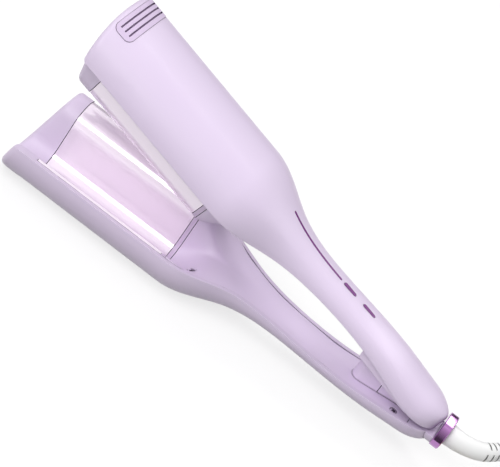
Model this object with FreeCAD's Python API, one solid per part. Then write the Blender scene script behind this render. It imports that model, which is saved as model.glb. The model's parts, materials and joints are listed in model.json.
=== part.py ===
import FreeCAD
import Part
import math
import os
from FreeCAD import Vector

# Deep wave hair crimper, two hinged arms joined at the tail, modelled lying open on its lower arm.
# Lengths are millimetres. Each arm is drawn in the arm frame: the origin lies on the hinge axis at the
# closing plane, +X runs to the cord, and the lower arm lies under the closing plane, with its outside down.
# The upper arm is drawn the same way and then turned over about X.

# Whole tool
OPEN_ANGLE = 15.5
PIN_HEIGHT = 2.7
REST_X = 203.0
REST_FLAT_DEPTH = 0.4

# Heads
HEAD_WIDTH = 74.0
CROWN_DEPTH = 30.2
RIM_DEPTH = 2.2
SHELL_WALL = 2.8
SHELL_FULLNESS = 2.4
SHELL_POINTS = 14
PLATE_LENGTH = 90.0
PLATE_REAR = -158.0
PLATE_WALL = 1.8
PLATE_INSET = 0.3
NOSE_LENGTH = 15.5
NOSE_RAKE = 15.0
NOSE_ROUNDING = 3.2
NOSE_WALL = 5.0
SPACER_WIDTH = 2.7
SPACER_WALL = 3.0
SEAM_GAP = 0.35

# Wave profile, a barrel and a trough of one radius, odd about the middle of the head
WAVE_OFFSET = 14.8
WAVE_CENTRE = 6.8
WAVE_RADIUS = 13.6
FLANK_ANGLE = 20.0
NOSE_GAP = 0.25
PLATE_GAP = 0.5
COVER_GAP = 0.6

# Neck and handle: place along the arm, half width, rim depth, crown depth
NECK_START = -152.0
HANDLE_STATIONS = [
    (-152.0, 37.0, 2.2, 30.2),
    (-147.0, 36.6, 2.2, 29.9),
    (-136.0, 33.3, 2.2, 27.8),
    (-123.0, 26.6, 2.3, 24.0),
    (-112.0, 21.3, 3.0, 21.0),
    (-100.0, 17.9, 4.4, 19.0),
    (-81.0, 15.9, 6.6, 17.9),
    (-58.0, 15.8, 8.4, 18.4),
    (-33.0, 16.7, 8.6, 19.2),
    (-13.0, 17.8, 6.8, 19.0),
]
TAIL_START = 8.0
TAIL_HALF_WIDTH = 18.3
TAIL_RIM_DEPTH = 4.6
TAIL_CROWN_DEPTH = 17.5
TAIL_BLUNTNESS = 0.25
UPPER_TAIL_LENGTH = 21.0
LOWER_TAIL_LENGTH = 21.0
TAIL_ANGLES = (0.0, 22.0, 42.0, 58.0, 70.0, 79.0, 86.0)

# Inner covers
COVER_WALL = 1.8
COVER_RECESS = 0.4
COVER_CLEARANCE = 0.3
COVER_FADE = [
    (-152.0, 0.94),
    (-147.0, 0.71),
    (-141.0, 0.38),
    (-136.0, 0.19),
    (-130.0, 0.07),
    (-123.0, 0.0),
]
COVER_PLUG_DEPTH = 12.0
COVER_END = 13.2
COVER_SLOT_FRONT = -38.0
COVER_SLOT_REAR = 9.0

# Cover screws: the forward one sits in a round recess of the neck, the rear two beside the hinge
NECK_SCREW_X = -139.2
NECK_SCREW_Y = -18.8
NECK_SCREW_FLOOR = 10.4
TAIL_SCREW_X = 3.0
TAIL_SCREW_Y = 12.5
RECESS_DIAMETER = 5.0
SCREW_HEAD_DIAMETER = 4.7
SCREW_HEAD_HEIGHT = 1.2
SCREW_DIAMETER = 2.6
SCREW_LENGTH = 6.5
SCREW_FIT = 0.05
SCREW_TIP_ROOM = 0.3
SEAT_THICKNESS = 1.2
BOSS_DIAMETER = 6.4
SEAT_GAP = 0.1

# Plate seats
SEAT_DIAMETER = 7.0
SEAT_INSET = 14.0

# Grip pads
PAD_FRONT = -266.8
PAD_REAR = -253.6
PAD_HALF_WIDTH = 25.5
PAD_CORNER = 4.0
PAD_THICKNESS = 1.6
PAD_GAP = 0.15
RIB_PITCH = 3.35
RIB_COUNT = 3
PAD_PROUD = 0.25
RIB_HALF_WIDTH = 22.4
RIB_GROOVE = 1.0
RIB_GROOVE_DEPTH = 0.8
RIB_CORNER = 1.0
PAD_RIM_MARGIN = 6.0
PAD_POCKET_REACH = 3.0

# Hinge
PIN_DIAMETER = 4.0
PIN_CLEARANCE = 0.05
KNUCKLE_HALF_WIDTH = 5.5
KNUCKLE_FRONT = -29.6
KNUCKLE_FRONT_TOP = 12.0
KNUCKLE_REAR_TOP = 8.2
KNUCKLE_SEAM = -11.0
KNUCKLE_REAR = 13.0
KNUCKLE_RAMP_DEPTH = 4.4
KNUCKLE_EDGE = 2.0
KNUCKLE_SPLIT = 0.2
BLOCK_FOOT_DEPTH = 14.0
BOSS_RADIUS = 5.0
EAR_FRONT = -8.5
EAR_HALF_WIDTH = 11.5
EAR_TOP_DEPTH = 10.4
EAR_THICKNESS = 2.0
EAR_SCREW_Y = 9.0
EAR_SCREW_X = -4.5
EAR_SCREW_HEAD = 4.0
EAR_SCREW_LENGTH = 5.0
SHROUD_CLEARANCE = 0.4
SHROUD_WALL = 2.5
SHROUD_FRONT = -29.5
SHROUD_REAR = 8.0
SHROUD_DROP = 1.8
SHROUD_ROUNDING = 3.5
PLATEAU_FRONT = -33.0
PLATEAU_REAR = 9.0
PLATEAU_DEPTH = 2.2
PLATEAU_SLOPE = 2.0
PIN_HALF_LENGTH = 7.5
PIN_END_GAP = 0.3
PIN_FIT = 0.02
PIN_BEVEL = 0.4
SPRING_WIRE = 1.1
SPRING_RADIUS = 3.5
SPRING_HALF_TURNS = 5
SPRING_PITCH = 1.65
SPRING_LEG = 7.0
SPRING_SLOT = 3.25
SPRING_SLOT_FLOOR = 2.6
SPRING_SLOT_WALL = 1.6

# Tail block, collar and swivel
CORD_AXIS_DEPTH = 3.5
TAIL_BLOCK_RADIUS = 10.6
TAIL_BLOCK_TOP = 5.2
TAIL_BLOCK_GAP = 0.2
COLLAR_FRONT = 31.0
COLLAR_LENGTH = 5.7
COLLAR_DIAMETER = 23.0
COLLAR_WALL = 2.4
COLLAR_FLOOR = 1.4
COLLAR_LIP = 1.3
WIRE_BORE = 5.0
WIRE_DEPTH = 8.6
DRUM_CLEARANCE = 0.3
DRUM_LENGTH = 1.9
RING_THICKNESS = 0.5
RING_RADII = [(3.0, 4.2), (5.4, 6.6)]
BEVEL = 0.5

# Strain relief and cord
CORD_DIAMETER = 6.4
RELIEF_PROFILE = [
    (0.0, 14.0),
    (6.0, 13.1),
    (14.0, 12.2),
    (20.0, 11.8),
    (26.0, 11.6),
    (32.4, 11.4),
    (44.0, 10.8),
    (54.0, 9.8),
    (62.0, 8.8),
]
RELIEF_LEAD = 6.0
RELIEF_BEND = 28.0
RELIEF_TURN = 54.0
RELIEF_SLOTS = 8
RELIEF_SLOT_START = 26.0
RELIEF_SLOT_PITCH = 4.0
RELIEF_SLOT_WIDTH = 1.2
RELIEF_SLOT_HEIGHT = 6.0
RELIEF_SLOT_DEPTH = 1.0

# Coil, spiralling in on the first layer and out on the second, clockwise from its far side
COIL_CENTRE = (369.0, 17.5)
COIL_RADIUS = 48.5
COIL_PITCH = 7.0
COIL_TURNS = 6.5
COIL_LAYER = 7.0
COIL_HEIGHT = 3.3

# Route of the cord in the tool's frame, between the end of the strain relief and the coil
LEAD_FIRST_RUN = 22.0
LEAD_POINTS = [(318.5, 68.0, 16.0)]
LEAD_LAST_RUN = 20.0
# Route from the coil to the plug
END_FIRST_RUN = 18.0
END_POINTS = [(325.0, -30.0, 7.6)]
END_LAST_RUN = 19.0
ARC_SHARE = 0.45

# Plug
PLUG_HEADING = 165.0
PLUG_NECK_LENGTH = 10.0
PLUG_NECK_DIAMETER = 9.4
PLUG_LENGTH = 30.0
PLUG_WIDTH = 24.0
PLUG_REAR_WIDTH = 17.0
PLUG_THICKNESS = 15.0
PLUG_ROUNDING = 3.0
BLADE_LENGTH = 17.5
BLADE_HEIGHT = 6.35
BLADE_THICKNESS = 1.5
BLADE_SPACING = 12.7

# Light bar, buttons and electronics of the upper arm
LIGHT_FRONT = -121.0
LIGHT_REAR = -72.7
LIGHT_WIDTH = 1.9
LIGHT_FIT = 0.1
BUTTON_LENGTH = 10.0
BUTTON_WIDTH = 2.6
BUTTON_PROUD = 0.5
BUTTON_EDGE = 0.4
BUTTON_TRAVEL = 0.25
BUTTON_CLEARANCE = 0.15
BUTTON_FLANGE = 1.0
BUTTON_FLANGE_THICKNESS = 0.8
BUTTON_FLANGE_GAP = 0.3
BUTTON_STEM = 2.4
BUTTON_STEM_GAP = 0.05
POWER_X = -65.4
HEAT_X = -48.8
BOARD_FRONT = -119.0
BOARD_REAR = -42.0
BOARD_WIDTH = 16.0
BOARD_DEPTH = 11.4
BOARD_THICKNESS = 1.0
BOARD_SCREWS_X = (-112.0, -78.0)
BOARD_SCREW_Y = 5.6
BOARD_SCREW_DIAMETER = 1.6
BOARD_SCREW_HEAD = 3.0
BOARD_POST = 4.0
BOARD_SCREW_LENGTH = 2.4
SWITCH_SIZE = 4.5
SWITCH_HEIGHT = 1.1
PLUNGER_DIAMETER = 2.0
PLUNGER_HEIGHT = 0.3
EMITTER_COUNT = 5
EMITTER_LENGTH = 2.0
EMITTER_WIDTH = 1.6
EMITTER_HEIGHT = 0.8

# Heaters
HEATER_LENGTH = 70.0
HEATER_WIDTH = 13.0
HEATER_THICKNESS = 4.0
HEATER_FIT = 0.1
CLIP_THICKNESS = 0.8
CLIP_LENGTH = 54.0
CLIP_DROP = 1.0
SENSOR_DIAMETER = 2.4
SENSOR_LENGTH = 9.0
SENSOR_X = -196.0


def single(shape):
    solids = shape.Solids
    return solids[0] if len(solids) == 1 else Part.makeCompound(solids)


def rotated(shape, axis, angle, centre=Vector(0, 0, 0)):
    copy = shape.copy()
    copy.rotate(centre, axis, angle)
    return copy


def moved(shape, x, y, z):
    copy = shape.copy()
    copy.translate(Vector(x, y, z))
    return copy


def box(x0, x1, y0, y1, z0, z1):
    return Part.makeBox(x1 - x0, y1 - y0, z1 - z0, Vector(x0, y0, z0))


def cylinder_x(radius, x0, x1, y=0.0, z=0.0):
    return Part.makeCylinder(radius, x1 - x0, Vector(x0, y, z), Vector(1, 0, 0))


def cylinder_y(radius, y0, y1, x=0.0, z=0.0):
    return Part.makeCylinder(radius, y1 - y0, Vector(x, y0, z), Vector(0, 1, 0))


def cylinder_z(radius, z0, z1, x=0.0, y=0.0):
    return Part.makeCylinder(radius, z1 - z0, Vector(x, y, z0), Vector(0, 0, 1))


def curve_edge(points):
    curve = Part.BSplineCurve()
    curve.interpolate(points)
    return curve.toShape()


def line(a, b):
    return Part.LineSegment(a, b).toShape()


def bowl_edge(x, half_width, rim, crown):
    power = 2.0 / SHELL_FULLNESS
    points = []
    for index in range(SHELL_POINTS + 1):
        angle = math.pi * (1.0 - index / SHELL_POINTS)
        across = math.cos(angle)
        y = half_width * math.copysign(abs(across) ** power, across)
        z = -rim - (crown - rim) * abs(math.sin(angle)) ** power
        points.append(Vector(x, y, z))
    points[0] = Vector(x, -half_width, -rim)
    points[-1] = Vector(x, half_width, -rim)
    return curve_edge(points)


def bowl_wire(x, half_width, rim, crown, rise=0.0):
    bowl = bowl_edge(x, half_width, rim, crown)
    left = Vector(x, -half_width, -rim)
    right = Vector(x, half_width, -rim)
    if rise == 0.0:
        return Part.Wire([bowl, line(right, left)])
    up = Vector(0, 0, rise)
    return Part.Wire([bowl, line(right, right + up), line(right + up, left + up), line(left + up, left)])


def arm_stations(tail_length, inset):
    stations = [(x, width - inset, rim, crown - inset) for x, width, rim, crown in HANDLE_STATIONS]
    for angle in TAIL_ANGLES:
        turn = math.radians(angle)
        x = TAIL_START + (tail_length - inset) * math.sin(turn)
        width = (TAIL_HALF_WIDTH - inset) * math.cos(turn)
        drop = (TAIL_CROWN_DEPTH - inset - TAIL_RIM_DEPTH) * math.cos(turn) ** TAIL_BLUNTNESS
        stations.append((x, width, TAIL_RIM_DEPTH, TAIL_RIM_DEPTH + drop))
    return stations


def arm_body(front, tail_length, inset, rise):
    half = HEAD_WIDTH / 2 - inset
    crown = CROWN_DEPTH - inset
    head_face = Part.Face(bowl_wire(front, half, RIM_DEPTH, crown, rise))
    head = head_face.extrude(Vector(NECK_START - front, 0, 0))
    wires = [bowl_wire(x, w, r, c, rise) for x, w, r, c in arm_stations(tail_length, inset)]
    return head.fuse(Part.makeLoft(wires, True, False)).removeSplitter()


def wave_frame(gap):
    reach = math.hypot(WAVE_OFFSET, WAVE_CENTRE)
    slope = math.atan2(WAVE_CENTRE, WAVE_OFFSET) + math.asin(WAVE_RADIUS / reach)
    normal = Vector(0, -math.sin(slope), math.cos(slope))
    barrel = Vector(0, WAVE_OFFSET, WAVE_CENTRE)
    flank = math.radians(FLANK_ANGLE)
    return normal, barrel, WAVE_RADIUS - gap, WAVE_RADIUS + gap, flank


def wave_chain(x, gap, low):
    normal, barrel, barrel_radius, trough_radius, flank = wave_frame(gap)
    shift = Vector(x, 0, 0)
    trough = barrel * -1
    out = Vector(0, math.cos(flank), math.sin(flank))
    down = Vector(0, math.sin(flank), -math.cos(flank))
    top_start = barrel + normal * barrel_radius
    top_end = barrel + out * barrel_radius
    crest = barrel + Vector(0, 0, barrel_radius)
    dip_start = trough - out * trough_radius
    dip_end = trough - normal * trough_radius
    bottom = trough - Vector(0, 0, trough_radius)
    first = dip_start - down * ((low - dip_start.z) / math.cos(flank))
    last = top_end + down * ((top_end.z - low) / math.cos(flank))
    places = [p + shift for p in (first, dip_start, bottom, dip_end, top_start, crest, top_end, last)]
    first, dip_start, bottom, dip_end, top_start, crest, top_end, last = places
    edges = [
        line(first, dip_start),
        Part.Arc(dip_start, bottom, dip_end).toShape(),
        line(dip_end, top_start),
        Part.Arc(top_start, crest, top_end).toShape(),
        line(top_end, last),
    ]
    return edges, first, last


def wave_height(y, gap):
    normal, barrel, barrel_radius, trough_radius, flank = wave_frame(gap)
    top_start = barrel + normal * barrel_radius
    top_end_y = barrel.y + math.cos(flank) * barrel_radius
    dip_end = barrel * -1 - normal * trough_radius
    dip_start_y = -barrel.y - math.cos(flank) * trough_radius
    if y < dip_start_y:
        z = -barrel.z - math.sin(flank) * trough_radius + (dip_start_y - y) / math.tan(flank)
    elif y < dip_end.y:
        z = -barrel.z - math.sqrt(trough_radius ** 2 - (y + barrel.y) ** 2)
    elif y < top_start.y:
        share = (y - dip_end.y) / (top_start.y - dip_end.y)
        z = dip_end.z + share * (top_start.z - dip_end.z)
    elif y < top_end_y:
        z = barrel.z + math.sqrt(barrel_radius ** 2 - (y - barrel.y) ** 2)
    else:
        z = barrel.z + math.sin(flank) * barrel_radius - (y - top_end_y) / math.tan(flank)
    if abs(y) > abs(dip_start_y):
        z = max(z, -RIM_DEPTH) if y > 0 else min(z, -RIM_DEPTH)
    return z


def wave_strip(x0, x1, gap, wall, half_width):
    top, first, last = wave_chain(x0, gap, -RIM_DEPTH)
    base = -RIM_DEPTH - wall
    under, under_first, under_last = wave_chain(x0, gap + wall, base)
    left = Vector(x0, -half_width, -RIM_DEPTH)
    right = Vector(x0, half_width, -RIM_DEPTH)
    low_left = Vector(x0, -half_width, base)
    low_right = Vector(x0, half_width, base)
    edges = [line(left, first)] + top + [line(last, right), line(right, low_right)]
    edges += [line(low_right, under_last)] + under + [line(under_first, low_left), line(low_left, left)]
    face = Part.Face(Part.Wire(Part.__sortEdges__(edges)))
    return face.extrude(Vector(x1 - x0, 0, 0))


PLATE_FRONT = PLATE_REAR - PLATE_LENGTH
HEAD_FRONT = PLATE_FRONT - SEAM_GAP
HALF_HEAD = HEAD_WIDTH / 2
CAVITY_HALF = HALF_HEAD - SHELL_WALL
INSERT_HALF = CAVITY_HALF - PLATE_INSET
COVER_FRONT = PLATE_REAR + SPACER_WIDTH + 2 * SEAM_GAP
REST_Z = CROWN_DEPTH - REST_FLAT_DEPTH
X_AXIS = Vector(1, 0, 0)
Y_AXIS = Vector(0, 1, 0)
PIN = Vector(0, 0, PIN_HEIGHT)


def lower_placed(shape):
    return moved(shape, REST_X, 0, REST_Z)


def upper_placed(shape):
    turned = rotated(shape, X_AXIS, 180)
    opened = rotated(turned, Y_AXIS, OPEN_ANGLE, PIN)
    return lower_placed(opened)


def profile_y(points, y0, y1):
    places = [Vector(x, y0, z) for x, z in points]
    edges = [line(a, b) for a, b in zip(places, places[1:] + places[:1])]
    return Part.Face(Part.Wire(edges)).extrude(Vector(0, y1 - y0, 0))


def slot_z(x0, x1, width, z0, z1, y=0.0):
    radius = width / 2
    body = box(x0 + radius, x1 - radius, y - radius, y + radius, z0, z1)
    ends = [cylinder_z(radius, z0, z1, x, y) for x in (x0 + radius, x1 - radius)]
    return body.fuse(ends).removeSplitter()


def raked_knife(setback):
    knife = box(-HEAD_WIDTH, 0.0, -HEAD_WIDTH, HEAD_WIDTH, -HEAD_WIDTH, HEAD_WIDTH)
    knife = rotated(knife, Y_AXIS, NOSE_RAKE)
    return moved(knife, HEAD_FRONT - NOSE_LENGTH + setback, 0, -RIM_DEPTH)


def nose_block():
    chain, first, last = wave_chain(HEAD_FRONT, NOSE_GAP, -RIM_DEPTH)
    left = Vector(HEAD_FRONT, -HALF_HEAD, -RIM_DEPTH)
    right = Vector(HEAD_FRONT, HALF_HEAD, -RIM_DEPTH)
    bowl = bowl_edge(HEAD_FRONT, HALF_HEAD, RIM_DEPTH, CROWN_DEPTH)
    edges = [line(left, first)] + chain + [line(last, right), bowl]
    face = Part.Face(Part.Wire(Part.__sortEdges__(edges)))
    block = face.extrude(Vector(-2 * NOSE_LENGTH, 0, 0)).cut(raked_knife(0.0))
    front = min(block.Faces, key=lambda f: f.normalAt(0, 0).x)
    block = block.makeFillet(NOSE_ROUNDING, front.Edges)
    hollow_front = HEAD_FRONT - NOSE_LENGTH + NOSE_WALL
    hollow_radius = WAVE_RADIUS - SHELL_WALL
    hollow = cylinder_x(hollow_radius, hollow_front, HEAD_FRONT + 1, WAVE_OFFSET, WAVE_CENTRE)
    sides = (WAVE_OFFSET - hollow_radius, WAVE_OFFSET + hollow_radius)
    hollow = hollow.fuse(box(hollow_front, HEAD_FRONT + 1, sides[0], sides[1], -CROWN_DEPTH / 2, WAVE_CENTRE))
    return block.cut(hollow)


def pad_solid(gap, proud, depth):
    front = PAD_FRONT - gap
    rear = PAD_REAR + gap
    half = PAD_HALF_WIDTH + gap
    skin = bowl_prism(front, rear, proud).cut(bowl_prism(front - 1, rear + 1, -depth))
    levels = (-CROWN_DEPTH - PAD_POCKET_REACH, -RIM_DEPTH - PAD_RIM_MARGIN)
    return skin.common(rounded_plan(front, rear, half, PAD_CORNER, *levels))


def bowl_prism(x0, x1, outset):
    wire = bowl_wire(x0, HALF_HEAD + outset, RIM_DEPTH, CROWN_DEPTH + outset)
    return Part.Face(wire).extrude(Vector(x1 - x0, 0, 0))


def rounded_plan(x0, x1, half, corner, z0, z1):
    plan = box(x0, x1, -half, half, z0, z1)
    upright = [e for e in plan.Edges if abs(e.Vertexes[0].Z - e.Vertexes[1].Z) > 1]
    return plan.makeFillet(corner, upright)


def grip_pad():
    pad = pad_solid(0.0, PAD_PROUD, PAD_THICKNESS)
    for index in range(RIB_COUNT):
        x = PAD_REAR - (index + 1) * RIB_PITCH
        ring = bowl_prism(x - RIB_GROOVE / 2, x + RIB_GROOVE / 2, PAD_PROUD + 1)
        ring = ring.cut(bowl_prism(x - RIB_GROOVE, x + RIB_GROOVE, PAD_PROUD - RIB_GROOVE_DEPTH))
        ends = (x - RIB_PITCH / 2, x + RIB_PITCH / 2)
        span = rounded_plan(*ends, RIB_HALF_WIDTH, RIB_CORNER, -CROWN_DEPTH - PAD_POCKET_REACH, -RIM_DEPTH)
        pad = pad.cut(ring.common(span))
    return pad


def along(x, column):
    rows = HANDLE_STATIONS + [(TAIL_START, TAIL_HALF_WIDTH, TAIL_RIM_DEPTH, TAIL_CROWN_DEPTH)]
    if x <= rows[0][0]:
        return rows[0][column]
    for before, after in zip(rows, rows[1:]):
        if x <= after[0]:
            share = (x - before[0]) / (after[0] - before[0])
            return before[column] + share * (after[column] - before[column])
    return rows[-1][column]


def rim_at(x):
    return along(x, 2)


def crown_at(x):
    return along(x, 3)


def cover_screw_places():
    rear_floor = rim_at(TAIL_SCREW_X) + COVER_RECESS + SCREW_HEAD_HEIGHT
    places = [(NECK_SCREW_X, NECK_SCREW_Y, NECK_SCREW_FLOOR)]
    places += [(TAIL_SCREW_X, side * TAIL_SCREW_Y, rear_floor) for side in (-1, 1)]
    return places


def screw(x, y, floor, diameter, head_diameter, head_height, length):
    shank = cylinder_z(diameter / 2, -floor - length, -floor, x, y)
    head = cylinder_z(head_diameter / 2, -floor, -floor + head_height, x, y)
    return shank.fuse(head).removeSplitter()


def cover_screws():
    sizes = (SCREW_DIAMETER, SCREW_HEAD_DIAMETER, SCREW_HEAD_HEIGHT, SCREW_LENGTH)
    return Part.makeCompound([screw(x, y, floor, *sizes) for x, y, floor in cover_screw_places()])


def post_and_bore(x, y, seat, post_diameter, screw_diameter, screw_end):
    post = cylinder_z(post_diameter / 2, -CROWN_DEPTH, -seat - SEAT_GAP, x, y)
    bore = cylinder_z(screw_diameter / 2 + SCREW_FIT, -screw_end - SCREW_TIP_ROOM, -seat, x, y)
    return post, bore


def cover_posts():
    posts = []
    for x, y, floor in cover_screw_places():
        sizes = (floor + SEAT_THICKNESS, BOSS_DIAMETER, SCREW_DIAMETER, floor + SCREW_LENGTH)
        posts.append(post_and_bore(x, y, *sizes))
    return posts


def plate_seats():
    seats = []
    trough_base = WAVE_CENTRE + WAVE_RADIUS + PLATE_GAP + PLATE_WALL + SEAT_GAP
    for x in (PLATE_FRONT + SEAT_INSET, PLATE_REAR - SEAT_INSET):
        seats.append(cylinder_z(SEAT_DIAMETER / 2, -CROWN_DEPTH, -trough_base, x, -WAVE_OFFSET))
    return seats


def arm_outer(tail_length):
    return arm_body(HEAD_FRONT, tail_length, 0.0, 0.0)


def arm_cavity(tail_length):
    cavity = arm_body(HEAD_FRONT - 1, tail_length, SHELL_WALL, CROWN_DEPTH)
    underside = -TAIL_RIM_DEPTH - SHELL_WALL
    return cavity.cut(box(COVER_END + SEAM_GAP, COLLAR_FRONT, -HALF_HEAD, HALF_HEAD, underside, CROWN_DEPTH))


def arm_shell(tail_length, posts_and_bores):
    outer = arm_outer(tail_length)
    cavity = arm_cavity(tail_length)
    posts = [post for post, bore in posts_and_bores] + plate_seats()
    bores = [bore for post, bore in posts_and_bores]
    inside = [post.common(outer) for post in posts]
    shell = outer.cut(cavity).fuse(inside + [nose_block()])
    return shell.cut(bores + [pad_solid(PAD_GAP, PAD_POCKET_REACH, PAD_THICKNESS + PAD_GAP)])


def floor_trim(shape):
    return shape.cut(box(PAD_FRONT - 60, COLLAR_FRONT, -HEAD_WIDTH, HEAD_WIDTH, -2 * REST_Z, -REST_Z))


def lower_shell():
    posts = cover_posts()
    seat = EAR_TOP_DEPTH + EAR_THICKNESS
    sizes = (seat, BOSS_DIAMETER, SCREW_DIAMETER, EAR_TOP_DEPTH + EAR_SCREW_LENGTH)
    for side in (-1, 1):
        posts.append(post_and_bore(EAR_SCREW_X, side * EAR_SCREW_Y, *sizes))
    shell = arm_shell(LOWER_TAIL_LENGTH, posts)
    bore = cylinder_x(TAIL_BLOCK_RADIUS + SEAM_GAP, COVER_END, COLLAR_FRONT + 1, 0, -CORD_AXIS_DEPTH)
    return single(floor_trim(shell.cut(bore)))


def board_screw_places():
    return [(x, side * BOARD_SCREW_Y) for x in BOARD_SCREWS_X for side in (-1, 1)]


def upper_shell():
    posts = cover_posts()
    seat = BOARD_DEPTH + BOARD_THICKNESS
    sizes = (seat, BOARD_POST, BOARD_SCREW_DIAMETER, BOARD_DEPTH + BOARD_SCREW_LENGTH)
    for x, y in board_screw_places():
        posts.append(post_and_bore(x, y, *sizes))
    shell = arm_shell(UPPER_TAIL_LENGTH, posts)
    slots = [light_slot(LIGHT_FIT)]
    for x in (POWER_X, HEAT_X):
        slots.append(button_slot(x, BUTTON_CLEARANCE, -CROWN_DEPTH, -TAIL_RIM_DEPTH))
    return single(shell.cut(slots))


def light_slot(gap):
    return slot_z(LIGHT_FRONT - gap, LIGHT_REAR + gap, LIGHT_WIDTH + 2 * gap, -CROWN_DEPTH, -BOARD_DEPTH)


def button_slot(x, gap, z0, z1):
    half = BUTTON_LENGTH / 2 + gap
    return slot_z(x - half, x + half, BUTTON_WIDTH + 2 * gap, z0, z1)


def accent_light_bar():
    skin = arm_outer(UPPER_TAIL_LENGTH).cut(arm_cavity(UPPER_TAIL_LENGTH))
    return single(light_slot(0.0).common(skin))


def button(x):
    crown = crown_at(x)
    ceiling = -crown + SHELL_WALL + BUTTON_FLANGE_GAP
    cap = button_slot(x, 0.0, -crown - BUTTON_PROUD, ceiling)
    rim = [e for e in cap.Edges if e.BoundBox.ZMax < -crown]
    cap = cap.makeFillet(BUTTON_EDGE, rim)
    flange = button_slot(x, BUTTON_FLANGE, ceiling, ceiling + BUTTON_FLANGE_THICKNESS)
    plunger_top = -BOARD_DEPTH - BOARD_THICKNESS - SWITCH_HEIGHT - PLUNGER_HEIGHT
    stem_end = plunger_top - BUTTON_TRAVEL - BUTTON_STEM_GAP
    stem = cylinder_z(BUTTON_STEM / 2, ceiling, stem_end, x)
    return single(cap.fuse([flange, stem]).removeSplitter())


def control_board():
    half = BOARD_WIDTH / 2
    z0 = -BOARD_DEPTH - BOARD_THICKNESS
    board = box(BOARD_FRONT, BOARD_REAR, -half, half, z0, -BOARD_DEPTH)
    radius = BOARD_SCREW_DIAMETER / 2 + SCREW_FIT
    return single(board.cut([cylinder_z(radius, z0 - 1, 0, x, y) for x, y in board_screw_places()]))


def board_screws():
    sizes = (BOARD_SCREW_DIAMETER, BOARD_SCREW_HEAD, BOARD_THICKNESS, BOARD_SCREW_LENGTH)
    return Part.makeCompound([screw(x, y, BOARD_DEPTH, *sizes) for x, y in board_screw_places()])


def tact_switches():
    outer = -BOARD_DEPTH - BOARD_THICKNESS
    half = SWITCH_SIZE / 2
    switches = []
    for x in (POWER_X, HEAT_X):
        body = box(x - half, x + half, -half, half, outer - SWITCH_HEIGHT, outer)
        tip = outer - SWITCH_HEIGHT - PLUNGER_HEIGHT
        plunger = cylinder_z(PLUNGER_DIAMETER / 2, tip, outer - SWITCH_HEIGHT, x)
        switches.append(body.fuse(plunger).removeSplitter())
    return Part.makeCompound(switches)


def light_emitters():
    outer = -BOARD_DEPTH - BOARD_THICKNESS
    spacing = (LIGHT_REAR - LIGHT_FRONT) / EMITTER_COUNT
    emitters = []
    for index in range(EMITTER_COUNT):
        x = LIGHT_FRONT + (index + 0.5) * spacing
        x0, x1 = x - EMITTER_LENGTH / 2, x + EMITTER_LENGTH / 2
        emitters.append(box(x0, x1, -EMITTER_WIDTH / 2, EMITTER_WIDTH / 2, outer - EMITTER_HEIGHT, outer))
    return Part.makeCompound(emitters)


def cover_wire(x, share):
    half = INSERT_HALF
    level = -rim_at(x) - COVER_RECESS
    base = level - COVER_WALL - share * (CROWN_DEPTH - COVER_PLUG_DEPTH)
    spread = (-1, -0.95, -0.9, -0.83, -0.7, -0.56, -0.42, -0.25, -0.1, -0.04)
    spread = spread + (0.0,) + tuple(-u for u in reversed(spread))
    top = []
    for u in spread:
        height = wave_height(u * half, COVER_GAP)
        top.append(Vector(x, u * half, share * height + (1 - share) * level))
    left = Vector(x, -half, base)
    right = Vector(x, half, base)
    return Part.Wire([curve_edge(top), line(top[-1], right), line(right, left), line(left, top[0])])


def cover_blank(tail_length, raised):
    places = [(COVER_FRONT, 1.0)] + COVER_FADE
    places += [(s[0], 0.0) for s in HANDLE_STATIONS if s[0] > COVER_FADE[-1][0]]
    places += [(TAIL_START, 0.0), (COVER_END, 0.0)]
    blank = Part.makeLoft([cover_wire(x, share) for x, share in places], True, False)
    space = arm_body(HEAD_FRONT, tail_length, SHELL_WALL + COVER_CLEARANCE, CROWN_DEPTH)
    seats = []
    cuts = []
    for x, y, floor in cover_screw_places():
        seats.append(cylinder_z(BOSS_DIAMETER / 2, -floor - SEAT_THICKNESS, -floor, x, y))
        cuts.append(cylinder_z(RECESS_DIAMETER / 2, -floor, CROWN_DEPTH, x, y))
        cuts.append(cylinder_z(SCREW_DIAMETER / 2 + SCREW_FIT, -floor - SEAT_THICKNESS - 1, 0, x, y))
    return blank.fuse(seats + raised).common(space).cut(cuts)


def lower_inner_cover():
    cover = cover_blank(LOWER_TAIL_LENGTH, [])
    slot = KNUCKLE_HALF_WIDTH + SEAM_GAP
    cover = cover.cut(box(KNUCKLE_SEAM, COVER_END + 1, -slot, slot, -CROWN_DEPTH, CROWN_DEPTH))
    rear = KNUCKLE_SEAM - KNUCKLE_SPLIT
    foot = -rim_at(KNUCKLE_FRONT) - COVER_RECESS - COVER_WALL / 2
    outline = [
        (KNUCKLE_FRONT, foot),
        (KNUCKLE_FRONT, KNUCKLE_FRONT_TOP),
        (rear, KNUCKLE_REAR_TOP),
        (rear, foot),
    ]
    fairing = profile_y(outline, -KNUCKLE_HALF_WIDTH, KNUCKLE_HALF_WIDTH)
    nose = KNUCKLE_FRONT + KNUCKLE_HALF_WIDTH
    plan = cylinder_z(KNUCKLE_HALF_WIDTH, foot, CROWN_DEPTH, nose)
    sides = (-KNUCKLE_HALF_WIDTH, KNUCKLE_HALF_WIDTH)
    plan = plan.fuse(box(nose, rear, sides[0], sides[1], foot, CROWN_DEPTH)).removeSplitter()
    fairing = fairing.common(plan).removeSplitter()
    top = max(fairing.Faces, key=lambda f: f.CenterOfMass.z)
    edges = [e for e in top.Edges if e.BoundBox.XMax < rear or e.BoundBox.XLength > 1]
    fairing = fairing.makeFillet(KNUCKLE_EDGE, edges)
    return single(cover.fuse(fairing))


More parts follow.
